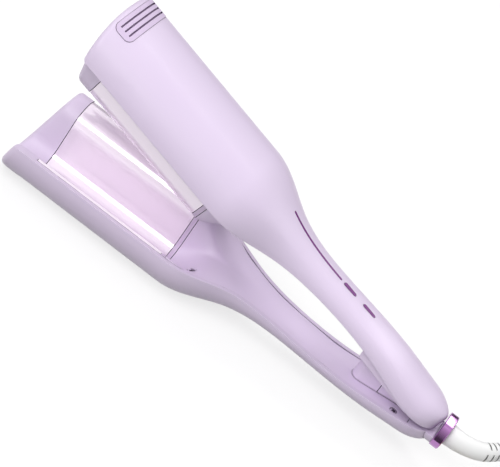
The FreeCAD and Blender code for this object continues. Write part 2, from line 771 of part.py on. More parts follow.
def hinge_plateau():
    middle = COVER_RECESS + COVER_WALL / 2
    outline = [
        (PLATEAU_FRONT - PLATEAU_SLOPE, -rim_at(PLATEAU_FRONT) - middle),
        (PLATEAU_FRONT, -PLATEAU_DEPTH),
        (PLATEAU_REAR, -PLATEAU_DEPTH),
        (PLATEAU_REAR + PLATEAU_SLOPE, -rim_at(PLATEAU_REAR) - middle),
    ]
    return profile_y(outline, -HALF_HEAD, HALF_HEAD)


def upper_inner_cover():
    cover = cover_blank(UPPER_TAIL_LENGTH, [hinge_plateau()])
    inner = KNUCKLE_HALF_WIDTH + SHROUD_CLEARANCE
    outer = inner + SHROUD_WALL
    foot = -rim_at(SHROUD_FRONT) - COVER_RECESS - COVER_WALL / 2
    top = SHROUD_DROP
    outline = [(SHROUD_FRONT, foot), (SHROUD_FRONT, top), (SHROUD_REAR, top), (SHROUD_REAR, foot)]
    shroud = profile_y(outline, -outer, outer)
    corners = [e for e in shroud.Edges if e.BoundBox.ZMin > 0 and e.BoundBox.YLength > outer]
    shroud = shroud.makeFillet(SHROUD_ROUNDING, corners)
    cover = cover.fuse(shroud)
    cover = cover.cut(box(COVER_SLOT_FRONT, COVER_SLOT_REAR, -inner, inner, -CROWN_DEPTH, CROWN_DEPTH))
    reach = PIN_HALF_LENGTH + PIN_END_GAP
    bore = cylinder_y(PIN_DIAMETER / 2 + PIN_CLEARANCE, -reach, reach, 0, -PIN_HEIGHT)
    return single(cover.cut(bore))


def wave_plate():
    return wave_strip(PLATE_FRONT, PLATE_REAR, PLATE_GAP, PLATE_WALL, INSERT_HALF)


def rear_spacer():
    x0 = PLATE_REAR + SEAM_GAP
    return wave_strip(x0, x0 + SPACER_WIDTH, COVER_GAP, SPACER_WALL, INSERT_HALF)


def flank_placed(shape):
    normal = wave_frame(0.0)[0]
    slope = math.degrees(math.atan2(normal.z, normal.y)) - 90
    return rotated(shape, X_AXIS, slope)


def heater():
    middle = (PLATE_FRONT + PLATE_REAR) / 2
    top = -PLATE_GAP - PLATE_WALL - HEATER_FIT
    half = HEATER_WIDTH / 2
    ends = (middle - HEATER_LENGTH / 2, middle + HEATER_LENGTH / 2)
    return flank_placed(box(ends[0], ends[1], -half, half, top - HEATER_THICKNESS, top))


def heater_clip():
    middle = (PLATE_FRONT + PLATE_REAR) / 2
    ends = (middle - CLIP_LENGTH / 2, middle + CLIP_LENGTH / 2)
    top = -PLATE_GAP - PLATE_WALL - HEATER_FIT
    inner = HEATER_WIDTH / 2 + HEATER_FIT
    outer = inner + CLIP_THICKNESS
    base = top - HEATER_THICKNESS - HEATER_FIT
    channel = box(ends[0], ends[1], -outer, outer, base - CLIP_THICKNESS, top - CLIP_DROP)
    hollow = box(ends[0] - 1, ends[1] + 1, -inner, inner, base, top)
    return flank_placed(channel.cut(hollow))


def sensor():
    radius = SENSOR_DIAMETER / 2
    z = WAVE_CENTRE + WAVE_RADIUS - PLATE_GAP - PLATE_WALL - HEATER_FIT - radius
    return cylinder_x(radius, SENSOR_X, SENSOR_X + SENSOR_LENGTH, WAVE_OFFSET, z)


def hinge_block():
    front = KNUCKLE_SEAM + KNUCKLE_SPLIT
    top = PIN_HEIGHT + BOSS_RADIUS
    outline = [
        (front, -BLOCK_FOOT_DEPTH),
        (front, top + KNUCKLE_SPLIT),
        (0.0, top),
        (BOSS_RADIUS, PIN_HEIGHT),
        (KNUCKLE_REAR, -KNUCKLE_RAMP_DEPTH),
        (KNUCKLE_REAR, -BLOCK_FOOT_DEPTH),
    ]
    half = KNUCKLE_HALF_WIDTH
    block = profile_y(outline, -half, half).fuse(cylinder_y(BOSS_RADIUS, -half, half, 0, PIN_HEIGHT))
    ears_rear = 2 * EAR_SCREW_X - EAR_FRONT
    ear_base = -EAR_TOP_DEPTH - EAR_THICKNESS
    ears = box(EAR_FRONT, ears_rear, -EAR_HALF_WIDTH, EAR_HALF_WIDTH, ear_base, -EAR_TOP_DEPTH)
    block = block.fuse(ears)
    pin_bore = cylinder_y(PIN_DIAMETER / 2 + PIN_FIT, -half - 1, half + 1, 0, PIN_HEIGHT)
    width = SPRING_SLOT
    slot = box(front + SPRING_SLOT_WALL, KNUCKLE_REAR + 1, -width, width, -SPRING_SLOT_FLOOR, top + 1)
    holes = [pin_bore, slot]
    radius = SCREW_DIAMETER / 2 + SCREW_FIT
    for side in (-1, 1):
        holes.append(cylinder_z(radius, -CROWN_DEPTH, 0, EAR_SCREW_X, side * EAR_SCREW_Y))
    return single(block.cut(holes).removeSplitter())


def hinge_block_screws():
    sizes = (SCREW_DIAMETER, EAR_SCREW_HEAD, SCREW_HEAD_HEIGHT, EAR_SCREW_LENGTH)
    return Part.makeCompound([screw(EAR_SCREW_X, s * EAR_SCREW_Y, EAR_TOP_DEPTH, *sizes) for s in (-1, 1)])


def hinge_pin():
    pin = cylinder_y(PIN_DIAMETER / 2, -PIN_HALF_LENGTH, PIN_HALF_LENGTH, 0, PIN_HEIGHT)
    return pin.makeChamfer(PIN_BEVEL, [e for e in pin.Edges if e.BoundBox.YLength < 0.1])


def arc_edge(start, tangent, end):
    chord = end - start
    reach = chord.Length ** 2 / (2 * chord.dot(tangent))
    corner = start + tangent * reach
    weight = chord.Length / (2 * reach)
    if weight > 1 - 1e-9:
        return line(start, end)
    middle = (start + corner * (2 * weight) + end) * (1 / (2 + 2 * weight))
    return Part.Arc(start, middle, end).toShape()


def biarc_edges(start, start_way, end, end_way):
    gap = end - start
    ways = start_way + end_way
    bend = 2 * (1 - start_way.dot(end_way))
    side = gap.dot(ways)
    reach = (math.sqrt(side ** 2 + bend * gap.dot(gap)) - side) / bend
    joint = (start + start_way * reach + end - end_way * reach) * 0.5
    first = arc_edge(start, start_way, joint)
    last = arc_edge(end, end_way * -1, joint)
    back = Part.Arc(joint, last.valueAt((last.FirstParameter + last.LastParameter) / 2), end).toShape()
    return [first, back]


def wound_path(places, ways, lead):
    edges = [line(places[0] - ways[0] * lead, places[0])]
    for index in range(len(places) - 1):
        edges += biarc_edges(places[index], ways[index], places[index + 1], ways[index + 1])
    edges.append(line(places[-1], places[-1] + ways[-1] * lead))
    return Part.Wire(edges)


def tube(path, diameter):
    start = path.Edges[0].valueAt(path.Edges[0].FirstParameter)
    way = path.Edges[0].tangentAt(path.Edges[0].FirstParameter)
    ring = Part.Wire(Part.makeCircle(diameter / 2, start, way))
    return path.makePipeShell([ring], True, False)


def least_gap(path, diameter, turn_length):
    points = path.discretize(Distance=diameter / 3)
    skip = int(turn_length / 2 / (diameter / 3))
    nearest = turn_length
    for index, point in enumerate(points):
        for other in points[index + skip:]:
            nearest = min(nearest, point.distanceToPoint(other))
    return nearest - diameter


def unit(vector):
    return vector * (1 / vector.Length)


def spring_path():
    places = []
    ways = []
    steps = 2 * SPRING_HALF_TURNS
    half = steps * SPRING_PITCH / 8
    for index in range(steps + 1):
        angle = math.pi * (index / 2 - 0.5)
        y = -half + 2 * half * index / steps
        spot = Vector(SPRING_RADIUS * math.cos(angle), y, PIN_HEIGHT + SPRING_RADIUS * math.sin(angle))
        rise = 0.0 if index in (0, steps) else 4 * half / steps / math.pi
        places.append(spot)
        ways.append(unit(Vector(-SPRING_RADIUS * math.sin(angle), rise, SPRING_RADIUS * math.cos(angle))))
    return wound_path(places, ways, SPRING_LEG)


def tail_block():
    block = cylinder_x(TAIL_BLOCK_RADIUS, COVER_END + TAIL_BLOCK_GAP, COLLAR_FRONT, 0, -CORD_AXIS_DEPTH)
    reach = TAIL_BLOCK_RADIUS + 1
    block = block.cut(box(COVER_END, COLLAR_FRONT + 1, -reach, reach, -TAIL_BLOCK_TOP, reach))
    return single(block.cut(cylinder_x(WIRE_BORE / 2, COVER_END, COLLAR_FRONT + 1, 0, -WIRE_DEPTH)))


def collar():
    rear = COLLAR_FRONT + COLLAR_LENGTH
    floor = COLLAR_FRONT + COLLAR_FLOOR
    radius = COLLAR_DIAMETER / 2
    ring = cylinder_x(radius, COLLAR_FRONT, rear, 0, -CORD_AXIS_DEPTH)
    ring = ring.makeChamfer(BEVEL, [e for e in ring.Edges if e.BoundBox.XLength < 0.1])
    room = cylinder_x(radius - COLLAR_WALL, floor, rear - COLLAR_LIP, 0, -CORD_AXIS_DEPTH)
    mouth = cylinder_x(RELIEF_PROFILE[0][1] / 2 + DRUM_CLEARANCE, floor, rear + 1, 0, -CORD_AXIS_DEPTH)
    wires = cylinder_x(WIRE_BORE / 2, COLLAR_FRONT - 1, floor + 1, 0, -WIRE_DEPTH)
    return single(ring.cut([room, mouth, wires]))


def contact_rings():
    front = COLLAR_FRONT + COLLAR_FLOOR
    rings = []
    for inner, outer in RING_RADII:
        disc = cylinder_x(outer, front, front + RING_THICKNESS, 0, -CORD_AXIS_DEPTH)
        rings.append(disc.cut(cylinder_x(inner, front - 1, front + 1, 0, -CORD_AXIS_DEPTH)))
    return Part.makeCompound(rings)


def relief_start():
    return COLLAR_FRONT + COLLAR_LENGTH - COLLAR_LIP - DRUM_CLEARANCE


def swivel_drum():
    radius = COLLAR_DIAMETER / 2 - COLLAR_WALL - DRUM_CLEARANCE
    rear = relief_start()
    drum = cylinder_x(radius, rear - DRUM_LENGTH, rear, 0, -CORD_AXIS_DEPTH)
    return single(drum.cut(cylinder_x(WIRE_BORE / 2, 0, rear + 1, 0, -CORD_AXIS_DEPTH)))


def relief_place(distance):
    turn = math.radians(RELIEF_TURN)
    arc_length = RELIEF_BEND * turn
    if distance <= RELIEF_LEAD:
        spot, angle = Vector(distance, 0, 0), 0.0
    elif distance <= RELIEF_LEAD + arc_length:
        angle = (distance - RELIEF_LEAD) / RELIEF_BEND
        spot = Vector(RELIEF_LEAD + RELIEF_BEND * math.sin(angle), RELIEF_BEND * (1 - math.cos(angle)), 0)
    else:
        past = distance - RELIEF_LEAD - arc_length
        angle = turn
        bend_end = Vector(RELIEF_LEAD + RELIEF_BEND * math.sin(turn), RELIEF_BEND * (1 - math.cos(turn)), 0)
        spot = bend_end + Vector(math.cos(turn), math.sin(turn), 0) * past
    return spot + Vector(relief_start(), 0, -CORD_AXIS_DEPTH), angle


def relief_diameter(distance):
    for (s0, d0), (s1, d1) in zip(RELIEF_PROFILE, RELIEF_PROFILE[1:]):
        if distance <= s1:
            return d0 + (d1 - d0) * (distance - s0) / (s1 - s0)
    return RELIEF_PROFILE[-1][1]


def strain_relief():
    wires = []
    for distance, diameter in RELIEF_PROFILE:
        spot, angle = relief_place(distance)
        way = Vector(math.cos(angle), math.sin(angle), 0)
        wires.append(Part.Wire(Part.makeCircle(diameter / 2, spot, way)))
    body = Part.makeLoft(wires, True, False)
    cuts = []
    for index in range(RELIEF_SLOTS):
        for quarter in (0, 1):
            distance = RELIEF_SLOT_START + (index + quarter / 2) * RELIEF_SLOT_PITCH
            radius = relief_diameter(distance) / 2
            half_width = RELIEF_SLOT_WIDTH / 2
            half_height = RELIEF_SLOT_HEIGHT / 2
            for side in (-1, 1):
                inner = radius - RELIEF_SLOT_DEPTH
                slot = box(-half_width, half_width, inner, radius + 2, -half_height, half_height)
                slot = rotated(slot, X_AXIS, 90 + 90 * side + 90 * quarter)
                spot, angle = relief_place(distance)
                slot = rotated(slot, Vector(0, 0, 1), math.degrees(angle))
                cuts.append(moved(slot, spot.x, spot.y, spot.z))
    return single(body.cut(cuts))


def coil_start():
    return Vector(COIL_CENTRE[0], COIL_CENTRE[1] + COIL_RADIUS, COIL_HEIGHT)


def coil_end():
    return Vector(COIL_CENTRE[0], COIL_CENTRE[1] - COIL_RADIUS, COIL_HEIGHT + COIL_LAYER)


def lead_points():
    spot, angle = relief_place(RELIEF_PROFILE[-1][0])
    start = spot + Vector(REST_X, 0, REST_Z)
    first = start + Vector(math.cos(angle), math.sin(angle), 0) * LEAD_FIRST_RUN
    last = coil_start() - X_AXIS * CORD_DIAMETER
    return [start, first] + [Vector(*p) for p in LEAD_POINTS] + [last - X_AXIS * LEAD_LAST_RUN, last]


def end_points():
    start = coil_end() - X_AXIS * CORD_DIAMETER
    points = [start, start - X_AXIS * END_FIRST_RUN] + [Vector(*p) for p in END_POINTS]
    heading = math.radians(PLUG_HEADING)
    return points + [points[-1] + Vector(math.cos(heading), math.sin(heading), 0) * END_LAST_RUN]


def route_wire(points, name):
    edges = []
    start = points[0]
    for before, corner, after in zip(points, points[1:], points[2:]):
        inward = unit(before - corner)
        outward = unit(after - corner)
        turn = math.pi - inward.getAngle(outward)
        setback = ARC_SHARE * min((before - corner).Length, (after - corner).Length)
        radius = setback / math.tan(turn / 2)
        print("%s arc radius %.1f mm, turn %.1f degrees" % (name, radius, math.degrees(turn)))
        first = corner + inward * setback
        last = corner + outward * setback
        edges.append(line(start, first))
        edges.append(arc_edge(first, inward * -1, last))
        start = last
    edges.append(line(start, points[-1]))
    return Part.Wire(edges)


def cord_stretch(points, name):
    path = route_wire(points, name)
    solid = tube(path, CORD_DIAMETER)
    share = solid.Volume / (math.pi * CORD_DIAMETER ** 2 / 4 * path.Length)
    print("%s length %.1f mm, volume over section by length %.4f" % (name, path.Length, share))
    return single(solid)


def cord_tube():
    return cord_stretch(lead_points(), "cord_tube")


def cord_end():
    return cord_stretch(end_points(), "cord_end")


def coil_path():
    centre = Vector(COIL_CENTRE[0], COIL_CENTRE[1], COIL_HEIGHT)
    steps = int(COIL_TURNS * 4)
    middle = steps / 2
    places = []
    ways = []
    for index in range(steps + 1):
        angle = (1 - index) * math.pi / 2
        inward = COIL_PITCH / 4 * (index if index <= middle else steps - index)
        radius = COIL_RADIUS - inward
        rate = -COIL_PITCH / (2 * math.pi) if index < middle else COIL_PITCH / (2 * math.pi)
        if index in (0, middle, steps):
            rate = 0.0
        share = min(max((index - middle + 1) / 2, 0.0), 1.0)
        climb = COIL_LAYER / math.pi if index == middle else 0.0
        out = Vector(math.cos(angle), math.sin(angle), 0)
        round_way = Vector(math.sin(angle), -math.cos(angle), 0)
        places.append(centre + out * radius + Vector(0, 0, COIL_LAYER * share))
        ways.append(unit(out * rate + round_way * radius + Vector(0, 0, climb)))
    return wound_path(places, ways, CORD_DIAMETER)


def cord_coil():
    path = coil_path()
    inner_turn = 2 * math.pi * (COIL_RADIUS - COIL_TURNS / 2 * COIL_PITCH)
    gap = least_gap(path, CORD_DIAMETER, inner_turn)
    solid = tube(path, CORD_DIAMETER)
    expected = math.pi * CORD_DIAMETER ** 2 / 4 * path.Length
    print("cord_coil length %.1f mm, least gap %.2f mm" % (path.Length, gap))
    print("cord_coil volume over section by length %.4f" % (solid.Volume / expected))
    return single(solid)


def hinge_spring():
    path = spring_path()
    gap = least_gap(path, SPRING_WIRE, 2 * math.pi * SPRING_RADIUS)
    print("hinge_spring least gap %.2f mm" % gap)
    return single(tube(path, SPRING_WIRE))


def plug_placed(shape):
    return moved(rotated(shape, Vector(0, 0, 1), PLUG_HEADING), *end_points()[-1])


def plug_body():
    neck = cylinder_x(PLUG_NECK_DIAMETER / 2, 0, PLUG_NECK_LENGTH + 2)
    rear = PLUG_NECK_LENGTH
    front = rear + PLUG_LENGTH
    rear_half = PLUG_REAR_WIDTH / 2
    front_half = PLUG_WIDTH / 2
    plan = [(rear, rear_half), (front, front_half), (front, -front_half), (rear, -rear_half)]
    places = [Vector(x, y, -PLUG_THICKNESS / 2) for x, y in plan]
    face = Part.Face(Part.Wire([line(a, b) for a, b in zip(places, places[1:] + places[:1])]))
    block = face.extrude(Vector(0, 0, PLUG_THICKNESS))
    block = block.makeFillet(PLUG_ROUNDING, [e for e in block.Edges if e.BoundBox.XMin < front - 1])
    return plug_placed(single(block.fuse(neck).removeSplitter()))


def plug_blades():
    front = PLUG_NECK_LENGTH + PLUG_LENGTH
    blades = []
    for side in (-1, 1):
        y = side * BLADE_SPACING / 2
        half = BLADE_THICKNESS / 2
        height = BLADE_HEIGHT / 2
        blades.append(plug_placed(box(front, front + BLADE_LENGTH, y - half, y + half, -height, height)))
    return Part.makeCompound(blades)


def lower_arm():
    return {
        "lower_shell": lower_shell(),
        "lower_inner_cover": lower_inner_cover(),
        "lower_wave_plate": wave_plate(),
        "lower_rear_spacer": rear_spacer(),
        "lower_grip_pad": single(floor_trim(grip_pad())),
        "lower_heater": heater(),
        "lower_heater_clip": heater_clip(),
        "lower_thermal_fuse": sensor(),
        "lower_cover_screws": cover_screws(),
        "hinge_block": hinge_block(),
        "hinge_block_screws": hinge_block_screws(),
        "hinge_pin": hinge_pin(),
        "hinge_spring": hinge_spring(),
        "tail_block": tail_block(),
        "collar": collar(),
        "contact_rings": contact_rings(),
    }


def upper_arm():
    return {
        "upper_shell": upper_shell(),
        "upper_inner_cover": upper_inner_cover(),
        "upper_wave_plate": wave_plate(),
        "upper_rear_spacer": rear_spacer(),
        "upper_grip_pad": single(grip_pad()),
        "upper_heater": heater(),
        "upper_heater_clip": heater_clip(),
        "upper_thermistor": sensor(),
        "upper_cover_screws": cover_screws(),
        "accent_light_bar": accent_light_bar(),
        "control_board": control_board(),
        "board_screws": board_screws(),
        "tact_switches": tact_switches(),
        "light_emitters": light_emitters(),
        "power_button": button(POWER_X),
        "temperature_button": button(HEAT_X),
    }


def cord_pieces():
    return {
        "swivel_drum": lower_placed(swivel_drum()),
        "strain_relief": lower_placed(strain_relief()),
        "cord_tube": cord_tube(),
        "cord_coil": cord_coil(),
        "cord_end": cord_end(),
        "plug_body": plug_body(),
        "plug_blades": plug_blades(),
    }


def main():
    os.makedirs("parts", exist_ok=True)
    pieces = {name: lower_placed(shape) for name, shape in lower_arm().items()}
    pieces.update({name: upper_placed(shape) for name, shape in upper_arm().items()})
    pieces.update(cord_pieces())
    for name, shape in pieces.items():
        shape.exportStep("parts/%s.step" % name)
        if not shape.isValid():
            print("%s is not valid" % name)
    print("%d pieces written" % len(pieces))


main()
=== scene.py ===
"""Deep wave hair crimper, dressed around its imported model.

The arms lie open on the lower one, on a pale studio floor, and the cord leaves towards the right edge of the
view. Lengths are metres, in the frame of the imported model: +X runs from the heads to the cord, +Z is up.
"""

import json
import logging
import math
from dataclasses import dataclass, field
from enum import Enum

import bmesh
import bpy
from mathutils import Matrix, Vector

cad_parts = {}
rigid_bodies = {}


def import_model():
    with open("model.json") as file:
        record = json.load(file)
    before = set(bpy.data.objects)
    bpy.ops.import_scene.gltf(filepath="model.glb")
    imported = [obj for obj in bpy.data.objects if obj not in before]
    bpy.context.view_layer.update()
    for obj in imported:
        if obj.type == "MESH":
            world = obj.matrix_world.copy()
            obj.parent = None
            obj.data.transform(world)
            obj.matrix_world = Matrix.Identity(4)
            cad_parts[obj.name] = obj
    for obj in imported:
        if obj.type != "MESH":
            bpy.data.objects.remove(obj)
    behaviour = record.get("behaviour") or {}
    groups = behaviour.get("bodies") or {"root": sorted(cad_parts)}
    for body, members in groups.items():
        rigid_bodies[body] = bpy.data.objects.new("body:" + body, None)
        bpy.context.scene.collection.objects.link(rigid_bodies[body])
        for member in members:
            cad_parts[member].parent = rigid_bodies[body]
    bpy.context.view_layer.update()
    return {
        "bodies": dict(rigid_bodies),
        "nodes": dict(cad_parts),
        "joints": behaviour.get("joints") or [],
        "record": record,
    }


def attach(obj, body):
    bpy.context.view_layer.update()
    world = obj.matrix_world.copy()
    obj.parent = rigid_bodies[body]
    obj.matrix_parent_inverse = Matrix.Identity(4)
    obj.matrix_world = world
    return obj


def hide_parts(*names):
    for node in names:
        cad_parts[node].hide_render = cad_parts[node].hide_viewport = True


LOG = logging.getLogger("crimper")
MM = 0.001
SHARP_EDGE = math.radians(32.0)
SAME_HEIGHT = 1e-7
NOISE_MIDDLE = 0.5
EDGE_SAMPLES = 6
SHADE_SAMPLES = 8
CORD_END_HEADING = math.radians(165.0)

Colour = tuple[float, float, float]
Point = tuple[float, float, float]
Profile = tuple[tuple[float, float], ...]
Tree = bpy.types.NodeTree
Node = bpy.types.Node
Socket = bpy.types.NodeSocket
Value = float | Socket

RING_STRETCH: Point = (1.0, 0.02, 0.02)


class Body(str, Enum):
    """The bodies that new pieces ride on."""

    LOWER = "lower_arm"
    UPPER = "upper_arm"
    CORD = "cord"


class Gloss(Enum):
    """How smooth a surface comes out of its tool, as a shader roughness."""

    MATT = 0.6
    SOFT = 0.52
    SATIN = 0.4
    SEMI = 0.3
    BRUSHED = 0.28
    DRAWN = 0.25
    POLISHED = 0.14
    MIRROR = 0.06


class Detail(Enum):
    """How many octaves a noise has."""

    PLAIN = 1.0
    LINES = 2.0
    FINE = 3.0
    RICH = 4.0


# Shader groups


def new_group(name: str, inputs: dict[str, float], outputs: dict[str, str]) -> tuple[Tree, Node, Node]:
    """Start a shader group with float inputs.

    Args:
        name: the group's name.
        inputs: input name to default value.
        outputs: output name to socket type.

    Returns:
        The group, its input node and its output node.
    """
    group = bpy.data.node_groups.new(name, "ShaderNodeTree")
    for label, value in inputs.items():
        socket = group.interface.new_socket(name=label, in_out="INPUT", socket_type="NodeSocketFloat")
        socket.default_value = value
    for label, kind in outputs.items():
        group.interface.new_socket(name=label, in_out="OUTPUT", socket_type=kind)
    entry = group.nodes.new("NodeGroupInput")
    leave = group.nodes.new("NodeGroupOutput")
    return group, entry, leave


def math_node(tree: Tree, operation: str, first: Value, second: Value) -> Socket:
    """Add a math node.

    Args:
        tree: the node tree.
        operation: the math operation.
        first: a socket or a number.
        second: a socket or a number.

    Returns:
        The node's result socket.
    """
    node = tree.nodes.new("ShaderNodeMath")
    node.operation = operation
    for slot, value in zip(node.inputs, (first, second)):
        if isinstance(value, (int, float)):
            slot.default_value = value
        else:
            tree.links.new(value, slot)
    return node.outputs[0]


def mix_colours(tree: Tree, share: Socket, first: Colour | Socket, second: Colour) -> Socket:
    """Add a mix of two colours.

    Args:
        tree: the node tree.
        share: the socket that says how much of the second one shows.
        first: a colour or a colour socket.
        second: a colour.

    Returns:
        The mixed colour's socket.
    """
    node = tree.nodes.new("ShaderNodeMix")
    node.data_type = "RGBA"
    tree.links.new(share, node.inputs["Factor"])
    node.inputs["B"].default_value = (*second, 1.0)
    if isinstance(first, tuple):
        node.inputs["A"].default_value = (*first, 1.0)
    else:
        tree.links.new(first, node.inputs["A"])
    return node.outputs["Result"]


def noise_node(tree: Tree, where: Socket, scale: Socket, detail: Detail) -> Socket:
    """Add a noise texture.

    Args:
        tree: the node tree.
        where: the coordinate socket.
        scale: the socket of its scale.
        detail: octaves of the noise.

    Returns:
        The noise's value socket.
    """
    node = tree.nodes.new("ShaderNodeTexNoise")
    node.inputs["Detail"].default_value = detail.value
    tree.links.new(where, node.inputs["Vector"])
    tree.links.new(scale, node.inputs["Scale"])
    return node.outputs["Fac"]


def moulded_grain() -> Tree:
    """Build the fine grain of a moulding, with a slow ripple under it.

    Returns:
        A group with a Height and a Tone output.
    """
    inputs = {"Grain": 5200.0, "Ripple": 26.0, "Share": 0.8}
    outputs = {"Height": "NodeSocketFloat", "Tone": "NodeSocketFloat"}
    group, entry, leave = new_group("moulded_grain", inputs, outputs)
    where = group.nodes.new("ShaderNodeTexCoord").outputs["Object"]
    grain = noise_node(group, where, entry.outputs["Grain"], Detail.FINE)
    ripple = noise_node(group, where, entry.outputs["Ripple"], Detail.PLAIN)
    kept = math_node(group, "MULTIPLY", grain, entry.outputs["Share"])
    rest = math_node(group, "SUBTRACT", 1.0, entry.outputs["Share"])
    height = math_node(group, "ADD", kept, math_node(group, "MULTIPLY", ripple, rest))
    group.links.new(height, leave.inputs["Height"])
    group.links.new(ripple, leave.inputs["Tone"])
    return group


def surface_dust() -> Tree:
    """Build sparse smudges that vary the gloss a little.

    Returns:
        A group with one Smudge output.
    """
    outputs = {"Smudge": "NodeSocketFloat"}
    group, entry, leave = new_group("surface_dust", {"Scale": 60.0, "Amount": 0.05}, outputs)
    where = group.nodes.new("ShaderNodeTexCoord").outputs["Object"]
    broad = noise_node(group, where, entry.outputs["Scale"], Detail.RICH)
    centred = math_node(group, "SUBTRACT", broad, NOISE_MIDDLE)
    group.links.new(math_node(group, "MULTIPLY", centred, entry.outputs["Amount"]), leave.inputs["Smudge"])
    return group


def turned_lines() -> Tree:
    """Build the fine rings that turning leaves on metal about the X axis.

    Returns:
        A group with one Height output.
    """
    group, entry, leave = new_group("turned_lines", {"Scale": 900.0}, {"Height": "NodeSocketFloat"})
    where = group.nodes.new("ShaderNodeTexCoord").outputs["Object"]
    stretch = group.nodes.new("ShaderNodeMapping")
    stretch.inputs["Scale"].default_value = RING_STRETCH
    group.links.new(where, stretch.inputs["Vector"])
    lines = noise_node(group, stretch.outputs["Vector"], entry.outputs["Scale"], Detail.LINES)
    group.links.new(lines, leave.inputs["Height"])
    return group


def edge_round() -> Tree:
    """Build the small radius of moulded edges, and a patchy mask of where they are, for a painted highlight
    along them.

    Returns:
        A group with a Mask and a Normal output.
    """
    inputs = {"Radius": 0.0004, "Gain": 5.0, "Breakup": 140.0, "Least": 0.35}
    outputs = {"Mask": "NodeSocketFloat", "Normal": "NodeSocketVector"}
    group, entry, leave = new_group("edge_round", inputs, outputs)
    rounding = group.nodes.new("ShaderNodeBevel")
    rounding.samples = EDGE_SAMPLES
    group.links.new(entry.outputs["Radius"], rounding.inputs["Radius"])
    flat = group.nodes.new("ShaderNodeNewGeometry")
    turn = group.nodes.new("ShaderNodeVectorMath")
    turn.operation = "DOT_PRODUCT"
    group.links.new(rounding.outputs["Normal"], turn.inputs[0])
    group.links.new(flat.outputs["Normal"], turn.inputs[1])
    bent = math_node(group, "SUBTRACT", 1.0, turn.outputs["Value"])
    strong = math_node(group, "MULTIPLY", bent, entry.outputs["Gain"])
    where = group.nodes.new("ShaderNodeTexCoord").outputs["Object"]
    patchy = noise_node(group, where, entry.outputs["Breakup"], Detail.FINE)
    # Painted highlight mask: where the normal bends at edges, broken up by noise.
    highlight_mask = math_node(group, "MULTIPLY", strong, math_node(group, "ADD", patchy, entry.outputs["Least"]))
    group.links.new(math_node(group, "MINIMUM", highlight_mask, 1.0), leave.inputs["Mask"])
    group.links.new(rounding.outputs["Normal"], leave.inputs["Normal"])
    return group


def crevice_shade() -> Tree:
    """Find seams, slots and inner corners, where little light reaches.

    Returns:
        A group with one Mask output.
    """
    outputs = {"Mask": "NodeSocketFloat"}
    group, entry, leave = new_group("crevice_shade", {"Reach": 0.0012, "Gain": 1.3}, outputs)
    open_share = group.nodes.new("ShaderNodeAmbientOcclusion")
    open_share.samples = SHADE_SAMPLES
    group.links.new(entry.outputs["Reach"], open_share.inputs["Distance"])
    closed = math_node(group, "SUBTRACT", 1.0, open_share.outputs["AO"])
    strong = math_node(group, "MULTIPLY", closed, entry.outputs["Gain"])
    group.links.new(math_node(group, "MINIMUM", strong, 1.0), leave.inputs["Mask"])
    return group


class Groups:
    """The shader groups that the finishes share, each built once."""

    makers = {
        "moulded_grain": moulded_grain,
        "surface_dust": surface_dust,
        "turned_lines": turned_lines,
        "edge_round": edge_round,
        "crevice_shade": crevice_shade,
    }

    @classmethod
    def place(cls, tree: Tree, name: str, values: dict[str, float]) -> Node:
        """Put a shared group into a material's tree.

        Args:
            tree: the material's node tree.
            name: the group's name.
            values: input name to value.

        Returns:
            The group node.
        """
        group = bpy.data.node_groups.get(name) or cls.makers[name]()
        node = tree.nodes.new("ShaderNodeGroup")
        node.node_tree = group
        for label, value in values.items():
            node.inputs[label].default_value = value
        return node


# Finishes


